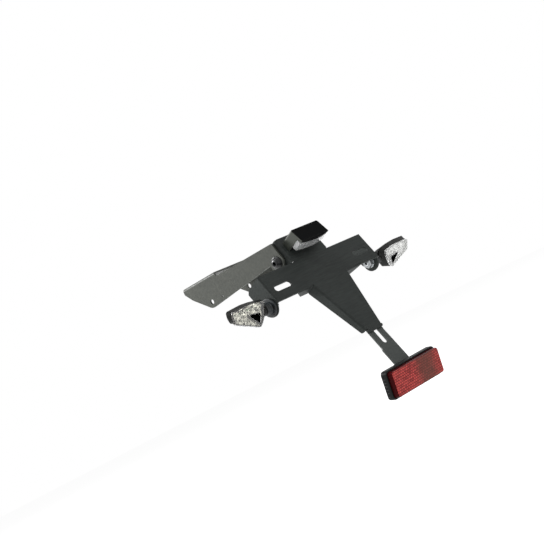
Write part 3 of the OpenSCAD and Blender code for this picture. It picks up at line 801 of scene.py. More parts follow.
def combine(obj: Piece, way: Way, *others: Mesh) -> Piece:
    """Cut closed meshes out of an object, or weld them onto it.

    Args:
        obj: the object.
        way: cut or weld.
        others: the meshes, in the frame's axes.

    Returns:
        The same object.
    """
    tools = [put("tool", mesh) for mesh in others]
    for tool in tools:
        step = obj.modifiers.new("step", "BOOLEAN")
        step.operation = way.value
        step.solver = "EXACT"
        step.object = tool
    bake(obj)
    for tool in tools:
        bpy.data.objects.remove(tool)
    return obj


def copy_of(node: str) -> Piece:
    """Copy a CAD node's mesh with its loose triangles merged into clean faces.

    Args:
        node: the node's name.

    Returns:
        A new object with the copy, at the origin.
    """
    merge, flat = 2e-6, math.radians(0.6)
    bm = bmesh.new()
    bm.from_mesh(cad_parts[node].data)
    bmesh.ops.remove_doubles(bm, verts=bm.verts, dist=merge)
    bmesh.ops.dissolve_limit(bm, angle_limit=flat, verts=bm.verts, edges=bm.edges)
    mesh = bpy.data.meshes.new(node + "_copy")
    bm.to_mesh(mesh)
    bm.free()
    return put(node + "_piece", mesh)


def own_map(obj: Piece, place: Matrix) -> Piece:
    """Give a piece a map of its own X and Y, in metres.

    Args:
        obj: the piece.
        place: where its own axes lie, in millimetres.

    Returns:
        The same piece, with the map "own".
    """
    back = place.inverted()
    layer = obj.data.uv_layers.new(name="own")
    for loop in obj.data.loops:
        point = back @ (obj.data.vertices[loop.vertex_index].co / MM)
        layer.data[loop.index].uv = (point.x * MM, point.y * MM)
    return obj


def also(obj: Piece, finish: Finish, picks: Callable[[bpy.types.MeshPolygon], bool]) -> None:
    """Give some of a piece's faces another finish.

    Args:
        obj: the piece.
        finish: the other surface.
        picks: tells whether a face gets it.
    """
    obj.data.materials.append(finish.material())
    for face in obj.data.polygons:
        if picks(face):
            face.material_index = len(obj.data.materials) - 1


def finish_piece(obj: Piece, finish: Finish, body: str, *replaced: str, sharp: float = 34.0) -> Piece:
    """Dress a piece and say what it rides on and stands for.

    Args:
        obj: the piece.
        finish: its surface.
        body: the CAD body that it moves with.
        replaced: the CAD nodes that it stands for.
        sharp: edges sharper than this many degrees stay crisp.

    Returns:
        The piece.
    """
    obj.data.materials.clear()
    obj.data.materials.append(finish.material())
    obj.data.shade_smooth()
    obj.data.set_sharp_from_angle(angle=math.radians(sharp))
    even = obj.modifiers.new("even_shading", "WEIGHTED_NORMAL")
    even.keep_sharp = True
    bake(obj)
    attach(obj, body)
    if replaced:
        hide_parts(*replaced)
    log.info("%s: %d faces, on %s", obj.name, len(obj.data.polygons), body)
    return obj


def deburred(node: str, width: float, finish: Finish, body: str) -> Piece:
    """Dress a CAD node's own form, with its outer edges broken."""
    return finish_piece(soften(copy_of(node), width), finish, body, node)


def dress_node(node: str, finish: Finish) -> None:
    """Give a CAD node that stays in view a better material.

    Args:
        node: the node's name.
        finish: its surface.
    """
    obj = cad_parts[node]
    if not obj.material_slots:
        obj.data.materials.append(finish.material())
    for slot in obj.material_slots:
        slot.material = finish.material()
    log.info("%s: CAD node in %s", node, finish.name)


# Geometry Nodes


@dataclass
class NodeTool:
    """A Geometry Nodes tree with named inputs, and the way to run it."""

    name: str
    inputs: dict[str, Socket]

    def shape(self, tree: Tree, given: dict[str, Output]) -> Output:
        """Add the nodes that make the geometry; each tool has its own."""
        raise NotImplementedError

    def build(self) -> Tree:
        """Build the tree, which ends in Realize Instances and Set Material.

        Returns:
            The tree.
        """
        tree = bpy.data.node_groups.new(self.name, "GeometryNodeTree")
        for label, kind in {"Base": Socket.SHAPE, **self.inputs}.items():
            tree.interface.new_socket(label, in_out="INPUT", socket_type=kind.value)
        tree.interface.new_socket("Made", in_out="OUTPUT", socket_type=Socket.SHAPE.value)
        given = {output.name: output for output in add_node(tree, "NodeGroupInput").outputs}
        real = add_node(tree, "GeometryNodeRealizeInstances", links={0: self.shape(tree, given)}).outputs[0]
        dressed = add_node(tree, "GeometryNodeSetMaterial", links={
            "Geometry": real, "Material": given["Finish"]})
        add_node(tree, "NodeGroupOutput", links={0: dressed.outputs[0]})
        return tree

    def run(self, obj: Piece, values: dict[str, object]) -> Piece:
        """Run the tree on an object and keep the result as a plain mesh.

        Args:
            obj: the object that carries the tree's base geometry.
            values: the inputs' values by their names.

        Returns:
            The same object with the made mesh and no modifier.
        """
        tree = bpy.data.node_groups.get(self.name) or self.build()
        modifier = obj.modifiers.new(self.name, "NODES")
        sockets = {item.name: item.identifier for item in tree.interface.items_tree if item.in_out == "INPUT"}
        modifier.node_group = tree
        for label, value in values.items():
            modifier[sockets[label]] = value
        return bake(obj)


class RepeatOnPoints(NodeTool):
    """Stands a copy of one small piece on each point, turned as told."""

    def shape(self, tree: Tree, given: dict[str, Output]) -> Output:
        """Add the instances on points, turned by the attribute.

        Args:
            tree: the tree.
            given: its inputs by their names.

        Returns:
            The instances.
        """
        piece = add_node(tree, "GeometryNodeObjectInfo", {"transform_space": "ORIGINAL"},
                         {"Object": given["Piece"]})
        turn = add_node(tree, "GeometryNodeInputNamedAttribute", {
            "data_type": "FLOAT_VECTOR", "Name": "turn"})
        return add_node(tree, "GeometryNodeInstanceOnPoints", links={
            "Points": given["Base"], "Instance": piece.outputs["Geometry"],
            "Rotation": turn.outputs["Attribute"], "Scale": given["Size"]}).outputs[0]


class Facets(NodeTool):
    """Breaks a fine flat sheet into tilted mirrors with seeded heights."""

    def shape(self, tree: Tree, given: dict[str, Output]) -> Output:
        """Shift each corner by its own height, and store each face's random tone, which the plating paints as
        a reflection.

        Args:
            tree: the tree.
            given: its inputs by their names.

        Returns:
            The faceted sheet.
        """
        seed = {"Seed": given["Seed"]}
        number = add_node(tree, "FunctionNodeRandomValue", {"data_type": "FLOAT", 2: -1.0, 3: 1.0}, seed)
        height = add_node(tree, "ShaderNodeMath", {"operation": "MULTIPLY"},
                          {0: number.outputs[1], 1: given["Depth"]})
        normal = add_node(tree, "GeometryNodeInputNormal")
        shift = add_node(tree, "ShaderNodeVectorMath", {"operation": "SCALE"},
                         {0: normal.outputs[0], "Scale": height.outputs[0]})
        moved = add_node(tree, "GeometryNodeSetPosition", links={
            "Geometry": given["Base"], "Offset": shift.outputs[0]})
        tone = add_node(tree, "FunctionNodeRandomValue", {"data_type": "FLOAT"}, seed)
        kept = add_node(tree, "GeometryNodeStoreNamedAttribute", {
            "data_type": "FLOAT", "domain": "FACE", "Name": "glint"},
            {"Geometry": moved.outputs[0], "Value": tone.outputs[1]})
        return add_node(tree, "GeometryNodeSetShadeSmooth", {"Shade Smooth": False},
                        {0: kept.outputs[0]}).outputs[0]


REPEAT = RepeatOnPoints("repeat_on_points", {
    "Piece": Socket.PIECE, "Size": Socket.LENGTH, "Finish": Socket.FINISH})
FACETS = Facets("plated_facets_tool", {
    "Depth": Socket.LENGTH, "Seed": Socket.COUNT, "Finish": Socket.FINISH})


def repeated(name: str, pattern: Form, places: Sequence[Matrix], finish: Finish, body: str,
             *replaced: str) -> Piece:
    """Stand one small form in several places by Geometry Nodes.

    Args:
        name: the finished piece's name.
        pattern: the small form, in its own axes.
        places: where each copy's axes lie, in millimetres.
        finish: its surface.
        body: the body that it rides on.
        replaced: the CAD nodes that it stands for.

    Returns:
        The finished piece.
    """
    small = pattern.piece(name + "_pattern")
    base = bpy.data.meshes.new(name)
    base.from_pydata([tuple(p.to_translation() * MM) for p in places], [], [])
    turn = base.attributes.new("turn", "FLOAT_VECTOR", "POINT")
    for i, place in enumerate(places):
        turn.data[i].vector = tuple(place.to_euler("XYZ"))
    obj = REPEAT.run(put(name, base), {"Piece": small, "Size": 1.0, "Finish": finish.material()})
    bpy.data.objects.remove(small)
    return finish_piece(obj, finish, body, *replaced)


# Where things lie


def turn_about(axis: str, degrees: float) -> Matrix:
    """Return a turn about one axis."""
    return Matrix.Rotation(math.radians(degrees), 4, axis)


def shift_by(x: float, y: float, z: float) -> Matrix:
    """Return a shift."""
    return Matrix.Translation((x, y, z))


def outward(place: Matrix) -> Vector:
    """Return the direction in which a placed form's own Z axis points."""
    return place.to_3x3() @ Vector((0, 0, 1))


@dataclass(frozen=True)
class Layout:
    """The tidy's main sizes, the same as the source's, and its axes."""

    tilt: tuple[float, float, float] = (0.0, -154.0, -32.0)
    lean: float = 20.0
    tilt_up: float = 16.4
    tilt_in: float = 18.7
    bracket_half: float = 39.5
    sheet: float = 2.0
    wing_half: float = 105.0
    hub_drop: float = 36.9
    hub_in: float = 17.4
    turns: tuple[float, float] = (29.0, 55.0)
    stalk: float = 12.5
    sweep: float = 3.0
    strip_bend: float = 187.5
    strip_foot: float = 29.0
    strip_face: float = -2.1
    reflector_turn: float = 31.0
    reflector_gap: float = 0.05

    def carrier(self) -> Matrix:
        """Return the carrier's axes: X right, Y up the plate, Z out of it."""
        pivot = shift_by(*self.tilt) @ turn_about("X", 90 - self.lean)
        return pivot @ shift_by(0, -self.tilt_up, self.tilt_in)

    def hub(self, side: Side) -> Matrix:
        """Find an indicator's axes on its stud: X outboard, Z rearward.

        Args:
            side: the indicator's side.

        Returns:
            The axes, in millimetres.
        """
        turn = self.turns[0 if side is Side.LEFT else 1]
        spot = shift_by(self.wing_half, -self.hub_drop, -self.hub_in)
        return self.carrier() @ side.mirror @ spot @ turn_about("X", turn)

    def body(self, side: Side) -> Matrix:
        """Return the axes of an indicator's body, at the stalk's end."""
        return self.hub(side) @ shift_by(self.stalk, 0, 0) @ turn_about("Y", self.sweep)

    def reflector(self) -> Matrix:
        """Return the reflector's axes, in the middle of its back."""
        bend = shift_by(0, -self.strip_bend, self.strip_face) @ turn_about("X", self.reflector_turn)
        return self.carrier() @ bend @ shift_by(0, -self.strip_foot / 2, self.reflector_gap)


LAYOUT = Layout()


# The pieces


@dataclass
class FoldedSheets:
    """The bracket, the plate carrier and the strip, with deburred edges and
    the carrier's lips closed onto its stem."""

    deburr: float = 0.3
    tab_half: float = 35.9
    wing_h: float = 41.5
    bend: float = 2.8
    lip: float = 15.5
    sunk: float = 3.0
    reach: float = 0.9
    strip_from: tuple[float, float] = (13.7, -133.5)
    strip_flare: float = 1.3 / 54

    def corner(self, side: Side) -> Mesh:
        """Make the end of a wing's lip, which meets the stem's flange.

        Args:
            side: the wing's side.

        Returns:
            The closed mesh, a hair inside the lip's own faces.
        """
        hair, steps = 0.02, 8
        out, low, within = self.bend - hair, 0.1 - self.lip, self.bend - LAYOUT.sheet + hair
        turns = [i * math.pi / 2 / steps for i in range(steps + 1)]
        arcs = [[(r * math.sin(a), r * math.cos(a) - self.bend) for a in turns] for r in (out, within)]
        profile = [(-1.0, arcs[0][0][1]), *arcs[0], (out, low), (within, low), *arcs[1][::-1],
                   (-1.0, arcs[1][0][1])]
        rings = [[Vector((x, self.bend - self.wing_h - across, z)) for across, z in profile]
                 for x in (self.tab_half - self.sunk, self.tab_half + self.reach)]
        return Form().loft(rings).mesh("corner", LAYOUT.carrier() @ side.mirror)

    def eased_edge(self) -> Mesh:
        """Make the wedge that comes off the strip's slanting edge, which
        passes the stem's fold when the reflector is slid up.

        Returns:
            The closed mesh.
        """
        wedge = ((-0.5, 0.05), (0.2, 0.05), (0.2, -0.65))
        x, top = self.strip_from
        edges = [(x - (y - top) * self.strip_flare, y) for y in (-134.0, -186.0)]
        rings = [[Vector((edge + out, y, LAYOUT.strip_face + z)) for out, z in wedge] for edge, y in edges]
        return Form().loft(rings).mesh("eased_edge", LAYOUT.carrier())

    def build(self) -> None:
        """Build the three folded sheets from the frame's own forms."""
        bracket, carrier, strip = (copy_of(node) for node in (
            "undertail_bracket", "plate_carrier", "reflector_strip"))
        combine(strip, Way.CUT, self.eased_edge())
        for sheet in (bracket, carrier, strip):
            soften(sheet, self.deburr)
        for side in Side:
            combine(carrier, Way.WELD, self.corner(side))
        finish_piece(bracket, BRACKET_COAT, "bracket", "undertail_bracket")
        finish_piece(carrier, COAT, "plate", "plate_carrier")
        finish_piece(strip, STRIP_COAT, "reflector_arm", "reflector_strip")


@dataclass
class TiltJoint:
    """The two flanged button bolts that the carrier tilts on."""

    head_d: float = 17.8
    head_h: float = 5.2
    shank_d: float = 8.0
    socket: float = 5.0
    pitch: float = 1.25
    inner: float = 22.9

    def bolt(self) -> Form:
        """Make one bolt along Z, with the underside of its flange at 0.

        Returns:
            The bolt.
        """
        r, h = self.head_d / 2, self.head_h
        head = Form().turned([(0, -6), (self.shank_d / 2, -6), (self.shank_d / 2, 0), (r - 0.2, 0), (r, 0.25),
                              (r, 0.9), (r - 0.25, 1.25), (r - 1.6, 1.9), (r - 2.0, 2.3), (r - 2.4, 3.3),
                              (r - 3.4, 4.3), (r - 4.7, 4.9), (r - 5.7, h), (0, h)], 64)
        hexagon = circle(self.socket / math.sqrt(3), 6)
        wide = [p * 1.12 for p in hexagon]
        hole = Form().layers([(hexagon, 2.0), (hexagon, h - 0.35), (wide, h + 0.1), (wide, h + 2)])
        made = soften(combine(head.piece("tilt_bolt_head"), Way.CUT, hole.mesh("socket")), 0.12, 40, 1)
        bolt = Form()
        bolt.bm.from_mesh(mesh_of(made))
        bmesh.ops.scale(bolt.bm, vec=(1 / MM, 1 / MM, 1 / MM), verts=bolt.bm.verts)
        return bolt.thread(self.shank_d, self.inner - LAYOUT.bracket_half, -4.5, self.pitch)

    def build(self) -> None:
        """Build both bolts, washers and nuts on the tilt axis."""
        half = LAYOUT.bracket_half
        axis = shift_by(*LAYOUT.tilt)
        ends = [axis @ shift_by(s * half, 0, 0) @ turn_about("Y", 90 * s) for s in (1, -1)]
        repeated("tilt_bolts_piece", self.bolt(), ends, BLACK_BOLT, "bracket", "tilt_bolts")
        deburred("tilt_washers", 0.15, NYLON, "bracket")
        deburred("tilt_nuts", 0.2, ZINC, "bracket")


@dataclass
class PlateLamp:
    """The plate lamp: moulded cover, fluted lens, board and screws. The
    cover's top and front are painted darker than its sides and slanting
    faces, as painted shade; a pair of values says how slanting a face must
    be to keep the plain colour."""

    width: float = 54.0
    lip: float = 9.5
    lens_low: float = 8.5
    lens_high: float = 22.0
    flutes: int = 17
    grained: tuple[float, float] = (0.55, 0.93)

    def build(self) -> None:
        """Build the lamp on the carrier's tab."""
        cover = finish_piece(soften(copy_of("lamp_cover"), 0.8, 30, 3), LAMP_BLACK, "plate", "lamp_cover")
        out, (least, most) = outward(LAYOUT.carrier()), self.grained
        # Painted shade: the top and front faces get the darker copy.
        also(cover, LAMP_TOP_SHADE, lambda face: abs(face.normal.x) < 0.5
             and not least < abs(face.normal.dot(out)) < most)
        deburred("lamp_lens", 0.25, LAMP_CLEAR, "plate")
        deburred("lamp_screws", 0.15, ZINC, "plate")
        self.fluting()
        dress_node("lamp_board", BOARD)
        dress_node("lamp_leds", LED)

    def fluting(self) -> None:
        """Build the flutes inside the lens, which spread the light."""
        floor, margin, wide, deep = 1.7, 4.0, 1.1, 0.8
        half = [Vector((wide * math.cos(a), deep * math.sin(a))) for a in (math.pi * i / 8 for i in range(9))]
        flute = Form().layers([(half, 0.0), (half, self.lens_high - self.lens_low - 2 * floor)])
        span = self.width - 2 * margin
        places = [LAYOUT.carrier() @ shift_by(-span / 2 + span * i / (self.flutes - 1), self.lip + 1.45,
                                              self.lens_low + floor) for i in range(self.flutes)]
        repeated("lamp_lens_flutes", flute, places, LAMP_CLEAR, "plate")


@dataclass
class Indicator:
    """One indicator: a black shell with a triangular opening, a clear lens
    over a plated faceted insert, a rubber stalk and ring, and its stud."""

    side: Side
    length: float = 61.0
    crown: float = 18.8
    height: float = 15.0
    point: float = 15.0
    front: float = 12.0
    rim: float = 0.7
    wall: float = 1.6
    ring_d: float = 24.8
    stalk_d: float = 16.0
    stud_d: float = 8.0
    facet: float = 3.4
    tilt: float = 0.5

    @property
    def place(self) -> Matrix:
        """Return the axes of the indicator's body."""
        return LAYOUT.body(self.side)

    def named(self, word: str) -> str:
        """Return a name that begins with the side's."""
        return f"{self.side.word}_{word}"

    def dress(self, obj: Piece, finish: Finish, *replaced: str, sharp: float = 34.0) -> Piece:
        """Dress a piece that turns with the indicator, as finish_piece does."""
        return finish_piece(obj, finish, self.named("indicator"), *map(self.named, replaced), sharp=sharp)

    def shell_outline(self, inset: float) -> Outline:
        """Return the shell's outline where it is widest, drawn in by inset."""
        w, c, p, i = self.length, self.crown, self.point, inset
        return rounded([
            (w * 0.007 + i, c * 0.793 - i, 3), (w * 0.36, c * 0.957 - i, 30), (w * 0.59, c - i, 40),
            (w * 0.993 - i, c * 0.92 - i, 3), (w + 0.2 - i, c * 0.505, 10),
            (w * 0.975 - i, c * 0.92 - self.height + i, 3), (w * 0.238, i - p, 2),
            (w * 0.167 + i * 0.7, i * 0.5 - p * 0.867, 2), (w * 0.049 + i, -p * 0.313, 8),
            (w * 0.007 + i, c * 0.213, 10)])

    def lens_outline(self, inset: float) -> Outline:
        """Return the lens's outline, drawn in by inset."""
        w, c, p, i = self.length, self.crown, self.point, inset
        return rounded([
            (w * 0.087 + i * 1.2, c * 0.622 - i, 2.5), (w * 0.36, c * 0.782 - i, 25),
            (w * 0.961 - i, c * 0.739 - i, 2), (w * 0.969 - i, c * 0.793 - self.height + i, 2),
            (w * 0.38, i * 1.4 - p * 0.98, 1.3), (w * 0.316 + i, i * 0.3 - p * 0.807, 1.3),
            (w * 0.208 + i, -p * 0.247, 8), (w * 0.148 + i, c * 0.17, 8)])

    def opening(self, grow: float) -> Outline:
        """Return the triangular opening's outline, grown all round."""
        w, c, p, g = self.length, self.crown, self.point, grow
        return rounded([(w * 0.587 + g * 2.2, c * 0.181 + g * 0.6, 0.8 + g),
                        (w * 0.284 - g * 0.9, g - c * 0.016, 0.8 + g),
                        (w * 0.377 - g * 0.9, -p * 0.68 - g * 1.6, 0.8 + g)])

    def prism(self, outline: Outline, low: float, high: float) -> Mesh:
        """Return an outline drawn out from one height to another."""
        return Form().layers([(outline, low), (outline, high)]).mesh("prism", self.place)

    def tube(self, outer: Outline, inner: Outline, low: float, high: float, name: str = "tube") -> Piece:
        """Make an outline drawn out, with a hole of another outline.

        Args:
            outer: the edge.
            inner: the hole.
            low: height of the lower end.
            high: height of the upper end.
            name: the object's name.

        Returns:
            The object, placed on the body.
        """
        return combine(put(name, self.prism(outer, low, high)), Way.CUT, self.prism(inner, low - 1, high + 1))

    def shell(self) -> None:
        """Build the black shell with its pocket and its opening."""
        edge = self.shell_outline(0)
        half = self.height / 2 + 1
        top, pocket_floor, past = self.front - 3.0, 7.0, 14.0

        def back(inset: float, across: float, tall: float) -> Outline:
            """Return the shell's outline drawn in and narrowed."""
            keep, reach = 1 - inset / half, 1 - 2 * inset / self.length
            return [Vector(((inset + p.x * reach) * across, (2 + (p.y - 2) * keep) * tall)) for p in edge]
        # Each of the shell's rings: inset, share of the length, share of the height, and where it lies.
        sizes = [(5.2, 0.5, 0.8, -7.0), (4.6, 0.56, 0.84, -6.8), (3.9, 0.64, 0.88, -6.0),
                 (2.9, 0.78, 0.94, -4.2), (2.0, 0.89, 0.98, -2.2), (1.0, 0.96, 1.0, 0.0),
                 (0.35, 1.0, 1.0, 1.6), (0.0, 1.0, 1.0, 2.6), (0.3, 1.0, 1.0, 3.8)]
        layers = [(back(*size), z) for *size, z in sizes]
        layers += [(self.lens_outline(-self.rim - 0.1), top - 0.5), (self.lens_outline(-self.rim), top)]
        # Each ring of the neck on the stalk: where it lies, half its width, half its depth, and its shift.
        neck = [(0.0, 6.5, 6.5, 0.0), (1.5, 6.9, 6.8, 0.0), (5.0, 7.0, 6.6, -0.1), (9.0, 6.4, 5.6, -0.4),
                (14.0, 4.0, 3.6, -0.8)]
        boss = Form().loft([[Vector((x, wide * p.x, z + deep * p.y)) for p in circle(1.0, 48)]
                            for x, wide, deep, z in neck])
        made = Form().layers(layers, 120).piece(self.named("shell"), self.place)
        combine(made, Way.WELD, boss.mesh("boss", self.place))
        pocket = mesh_of(self.tube(self.lens_outline(0), self.opening(self.wall), pocket_floor, past))
        combine(made, Way.CUT, pocket, self.prism(self.opening(0), -past, past + 2))
        self.dress(soften(made, 0.2, 38, 2), SHELL_BLACK, "housing", sharp=38)
        # Painted shade: the opening's inner walls get the darker copy of the shell's plastic.
        out, own, mouth = outward(self.place), self.place.inverted(), self.opening(0.3)
        also(made, TUNNEL_SHADE, lambda face: abs(face.normal.dot(out)) < 0.3
             and inside(own @ (face.center / MM), mouth))
        # The liner round the opening takes the same painted shade.
        self.dress(self.tube(self.opening(0.5), self.opening(0), top - 0.1, self.front + 0.6,
                             self.named("opening_liner")), TUNNEL_SHADE)

    def lens(self) -> None:
        """Build the clear lens, a cap over the shell's front with its own
        walls round the edge and round the opening."""
        low, top, rim = self.front - 2.95, self.front, self.rim
        steps = [(-rim, low), (-rim, top - 0.3), (0.15 - rim, top + 0.2), (0, top + 0.6), (0.8, top + 0.85),
                 (2.0, top + 0.89)]
        cap = Form().layers([(self.lens_outline(inset), z) for inset, z in steps])
        made = combine(cap.piece(self.named("lens_piece"), self.place), Way.CUT,
                       mesh_of(self.tube(self.lens_outline(-0.35), self.opening(self.wall), 0, top - 0.8)),
                       self.prism(self.opening(0.55), 0, 20))
        self.dress(made, CLEAR_HAZED if self.side is Side.RIGHT else CLEAR, "lens", sharp=30)

    def insert(self) -> None:
        """Build the plated insert, a bowl whose floor is tilted mirrors."""
        left = self.side is Side.LEFT
        # The left insert takes the darker copy of the plating, a painted reflection.
        finish = PLATED_PAINTED_DULL if left else PLATED
        floor = Form().sheet(self.lens_outline(0.2), self.opening(self.wall + 0.2), self.facet, 9.0)
        made = floor.piece(self.named("insert"), self.place)
        FACETS.run(made, {"Depth": self.tilt * (1.0 if left else 0.45) * MM, "Seed": 5 + self.side.value,
                          "Finish": finish.material()})
        self.dress(made, finish, "reflector", sharp=1)
        low, seat, high = self.front - 4.9, self.front - 2.97, self.front - 0.85
        steps = [(0.05, low), (0.05, seat - 0.015), (-0.66, seat - 0.015), (-0.66, seat + 0.005),
                 (-0.3, seat + 0.005), (-0.3, high)]
        bowl = Form().layers([(self.lens_outline(inset), z) for inset, z in steps])
        bowl = bowl.piece(self.named("insert_bowl"), self.place)
        self.dress(combine(bowl, Way.CUT, self.prism(self.lens_outline(0.4), 0, 20)), finish, sharp=30)
        self.dress(self.tube(self.opening(self.wall + 0.4), self.opening(self.wall + 0.05), low, high,
                             self.named("insert_sleeve")), finish, sharp=30)

    def rubber(self) -> None:
        """Build the ribbed stalk and the ring against the flange."""
        bore, r, half = self.stud_d / 2 + 0.05, self.stalk_d / 2, self.ring_d / 2
        end = LAYOUT.stalk - 0.1
        profiles = {
            "stalk": [(bore, 3.1), (r, 3.1), (r + 0.5, 3.5), (r + 0.6, 4.2), (r + 0.1, 5.2), (r - 0.2, 6.2),
                      (r, 7.0), (r - 0.1, 7.8), (r - 0.5, 8.4), (r - 0.3, 9.2), (r - 0.4, 10.2),
                      (r - 0.8, 11.0), (r - 0.8, end), (bore, end)],
            "ring": [(bore, 0.1), (half - 0.9, 0.1), (half - 0.3, 0.35), (half, 0.9), (half, 2.0),
                     (half - 0.35, 2.7), (half - 1.0, 3.0), (bore, 3.0)]}
        for word, profile in profiles.items():
            made = Form().turned(profile, 64, True)
            self.dress(made.piece(self.named(word + "_piece"), LAYOUT.hub(self.side) @ turn_about("Y", 90)),
                       RUBBER, word, sharp=50)

    def fasteners(self) -> None:
        """Build the hollow stud with its washer and nut inside the flange."""
        place = LAYOUT.hub(self.side) @ turn_about("Y", 90)
        behind, within, pitch, bore_r = 9.0, 1.0, 1.0, 2.0
        rod = Form().thread(self.stud_d, -LAYOUT.sheet - behind, LAYOUT.stalk + within, pitch)
        bore = Form().turned([(0, -20), (bore_r, -20), (bore_r, 30), (0, 30)], 24)
        stud = combine(rod.piece(self.named("stud_piece"), place), Way.CUT, bore.mesh("bore", place))
        self.dress(stud, ZINC, "stud")
        for word in ("washer", "nut"):
            deburred(self.named(word), 0.2, ZINC, self.named("indicator"))

    def build(self) -> None:
        """Build the whole indicator on its hub."""
        self.shell()
        self.lens()
        self.insert()
        self.rubber()
        self.fasteners()
        dress_node(self.named("board"), BOARD)


@dataclass
class RearReflector:
    """The red reflector in its housing, at the foot of the strip. Its stud
    has a diameter, a lower and an upper end, and a pitch."""

    width: float = 104.0
    height: float = 38.0
    deep: float = 10.0
    lens_deep: float = 7.5
    border: float = 2.0
    notches: int = 6
    stud: tuple[float, float, float, float] = (5.0, -10.0, 1.9, 0.8)

    def block(self, width: float, height: float, steps: Sequence[tuple[float, float, float]]) -> Form:
        """Loft rounded rectangles, each smaller than a full size.

        Args:
            width: the full width.
            height: the full height.
            steps: for each rectangle, how much smaller it is, its corners' radius and where it lies.

        Returns:
            The form.
        """
        return Form().layers([(box_outline(width - less, height - less, r), z) for less, r, z in steps])

    def housing(self) -> None:
        """Build the black housing with its rolled rim and notched ends."""
        d, rim, bite, pitch = self.deep, 2 * self.border, 1.7, 4.4
        made = self.block(self.width, self.height, [
            (3.0, 4, 0.0), (1.2, 4.6, 0.4), (0.2, 5, 1.5), (0, 5, 3.0), (0, 5, d - 1.0), (0.5, 4.8, d - 0.2),
            (1.4, 4.4, d), (rim - 0.4, 3.7, d), (rim, 3.5, d - 0.4), (rim, 3.5, 2.0)])
        made = made.piece("reflector_housing_piece", LAYOUT.reflector())
        cuts = Form()
        for side in Side:
            for i in range(self.notches):
                middle = Vector((side.value * (self.width / 2 + 0.9), pitch * i - 12.5, 0))
                cuts.loft([[p + middle for p in circle(bite, 16, z)] for z in (-1.0, d - 4.0)])
        combine(made, Way.CUT, cuts.mesh("notches", LAYOUT.reflector()))
        finish_piece(made, HOUSING_BLACK, "reflector_arm", "reflector_housing")

    def lens(self) -> None:
        """Build the red lens, whose face shows the prisms and whose sides are painted dark, as painted shade.
        """
        rim, top = 2 * self.border + 0.1, self.deep + self.lens_deep + 0.05
        made = self.block(self.width - rim, self.height - rim, [
            (5, 2.5, top - 3.1), (5, 2.5, 2.1), (0, 3.5, 2.1), (0.3, 3.5, self.deep + 0.4),
            (1.0, 3.4, top - 1.3), (1.6, 3.3, top - 0.5), (2.4, 3.0, top - 0.12), (3.4, 2.6, top)])
        made = made.piece("reflector_lens_piece", LAYOUT.reflector())
        finish_piece(own_map(made, LAYOUT.reflector()), RED, "reflector_arm", "reflector_lens")
        out = outward(LAYOUT.reflector())
        # Painted shade: faces turned away from the lens's front get the darker red.
        also(made, RED_SIDE_SHADE, lambda face: face.normal.dot(out) < 0.6)

    def fasteners(self) -> None:
        """Build the stud, washer and nut behind the strip's foot."""
        deburred("reflector_washer", 0.15, ZINC, "reflector_arm")
        deburred("reflector_nut", 0.15, ZINC, "reflector_arm")
        repeated("reflector_stud_piece", Form().thread(*self.stud), [LAYOUT.reflector()], ZINC,
                 "reflector_arm", "reflector_stud")

    def build(self) -> None:
        """Build the whole reflector."""
        self.housing()
        self.lens()
        self.fasteners()


@dataclass
class StripClamp:
    """The two studs behind the stem that clamp the strip by its slot."""

    places: tuple[float, float] = (-100.0, -118.0)
    diameter: float = 6.0
    length: float = 12.0
    pitch: float = 1.0

    def build(self) -> None:
        """Build the studs, washers and nuts."""
        stud = Form().thread(self.diameter, -self.length, 0, self.pitch)
        seats = [LAYOUT.carrier() @ shift_by(0, y, -LAYOUT.sheet) for y in self.places]
        repeated("strip_studs_piece", stud, seats, ZINC, "plate", "strip_studs")
        deburred("strip_washers", 0.15, ZINC, "plate")
        deburred("strip_nuts", 0.2, ZINC, "plate")


@dataclass(frozen=True)
class SoftLamp:
    """A square lamp in the studio: its place in metres, its size and power."""

    name: str
    place: tuple[float, float, float]
    size: float
    power: float

    def build(self, middle: Vector) -> None:
        """Hang the lamp so that it faces the part.

        Args:
            middle: the part's middle.
        """
        lamp = bpy.data.lights.new(self.name, "AREA")
        lamp.size = self.size
        lamp.energy = self.power
        holder = bpy.data.objects.new(self.name, lamp)
        holder.location = self.place
        holder.rotation_euler = (middle - Vector(self.place)).to_track_quat("-Z", "Y").to_euler()
        bpy.context.scene.collection.objects.link(holder)


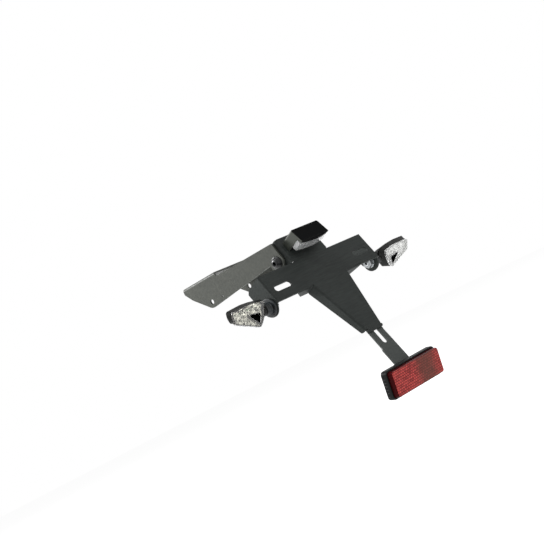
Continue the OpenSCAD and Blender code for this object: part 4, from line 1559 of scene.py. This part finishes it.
@dataclass
class Studio:
    """A white floor, soft lamps and the camera at the photograph's place."""

    camera_at: tuple[float, float, float] = (-1.24712, -1.34362, -0.12964)
    camera_turn: tuple[float, float, float] = (93.3925, 26.3068, -43.5617)
    focal: float = 86.96
    sensor: float = 36.0
    ambient: float = 0.17
    paper: float = 0.86
    floor_half: float = 6.0
    lamps: tuple[SoftLamp, ...] = (
        SoftLamp("fore", (-0.9, 1.6, 1.1), 0.6, 70.0),
        SoftLamp("high", (-1.05, 0.15, 1.85), 0.6, 12.0),
        SoftLamp("rear", (0.1, -1.9, 1.05), 0.9, 8.0),
        SoftLamp("low", (0.1, -0.55, -0.4), 0.3, 0.55),
        SoftLamp("right", (1.8, -0.3, 1.3), 1.2, 4.0),
    )

    def lit_up(self, tree: Tree, other: float, seen: float) -> Output:
        """Give one strength to the camera and the mirrors, another to the rest.

        Args:
            tree: the tree that gets the nodes.
            other: the strength for light that falls on things.
            seen: the strength that camera, glossy and transmitted rays see.

        Returns:
            The strength.
        """
        path = add_node(tree, "ShaderNodeLightPath")
        most = path.outputs["Is Camera Ray"]
        for ray in ("Is Glossy Ray", "Is Transmission Ray"):
            most = add_node(tree, "ShaderNodeMath", {"operation": "MAXIMUM"},
                            {0: most, 1: path.outputs[ray]}).outputs[0]
        limits = {"To Min": other, "To Max": seen}
        return add_node(tree, "ShaderNodeMapRange", limits, {"Value": most}).outputs[0]

    def floor(self, low: Sequence[float]) -> None:
        """Lay the white floor: matt paper that the camera and the mirrors see
        lit up to white, and that still takes the object's shadow.

        Args:
            low: the CAD box's low corner.
        """
        half, z = self.floor_half, low[2] - 0.06
        mesh = bpy.data.meshes.new("floor")
        mesh.from_pydata([(-half, -half, z), (half, -half, z), (half, half, z), (-half, half, z)], [],
                         [(0, 1, 2, 3)])
        white = bpy.data.materials.new("white_paper_floor")
        tree = emptied(white)
        glow = add_node(tree, "ShaderNodeEmission", {"Color": (1, 1, 1, 1)},
                        {"Strength": self.lit_up(tree, 0.0, self.paper)})
        matt = add_node(tree, "ShaderNodeBsdfDiffuse", {"Color": linear("#d6d6d6")})
        both = add_node(tree, "ShaderNodeAddShader", links={0: matt.outputs[0], 1: glow.outputs[0]})
        add_node(tree, "ShaderNodeOutputMaterial", links={"Surface": both.outputs[0]})
        mesh.materials.append(white)
        put("floor", mesh)

    def camera(self) -> None:
        """Set up the camera as it was solved from the photograph."""
        lens = bpy.data.cameras.new("camera")
        lens.lens = self.focal
        lens.sensor_width = self.sensor
        lens.clip_end = 50
        camera = bpy.data.objects.new("camera", lens)
        camera.location = self.camera_at
        camera.rotation_euler = [math.radians(a) for a in self.camera_turn]
        bpy.context.scene.collection.objects.link(camera)
        bpy.context.scene.camera = camera

    def build(self) -> None:
        """Build the floor, the world, the lamps and the camera."""
        low, high = CAD_BOX
        self.floor(low)
        world = bpy.data.worlds.new("studio")
        bpy.context.scene.world = world
        tree = emptied(world)
        sky = add_node(tree, "ShaderNodeBackground", {"Color": (1, 1, 1, 1)},
                       {"Strength": self.lit_up(tree, self.ambient, 1.0)})
        add_node(tree, "ShaderNodeOutputWorld", links={"Surface": sky.outputs[0]})
        for lamp in self.lamps:
            lamp.build(Vector([(a + b) / 2 for a, b in zip(low, high)]))
        self.camera()
        bpy.context.scene.view_settings.view_transform = "Standard"


def main() -> None:
    """Build the tail tidy's pieces in order and the studio round them."""
    logging.basicConfig(level=logging.INFO, format="%(name)s: %(message)s")
    Studio().build()
    parts = [FoldedSheets(), TiltJoint(), PlateLamp(), Indicator(Side.LEFT), Indicator(Side.RIGHT),
             StripClamp(), RearReflector()]
    for part in parts:
        part.build()
        log.info("%s is done", type(part).__name__)


if __name__ == "__main__":
    main()
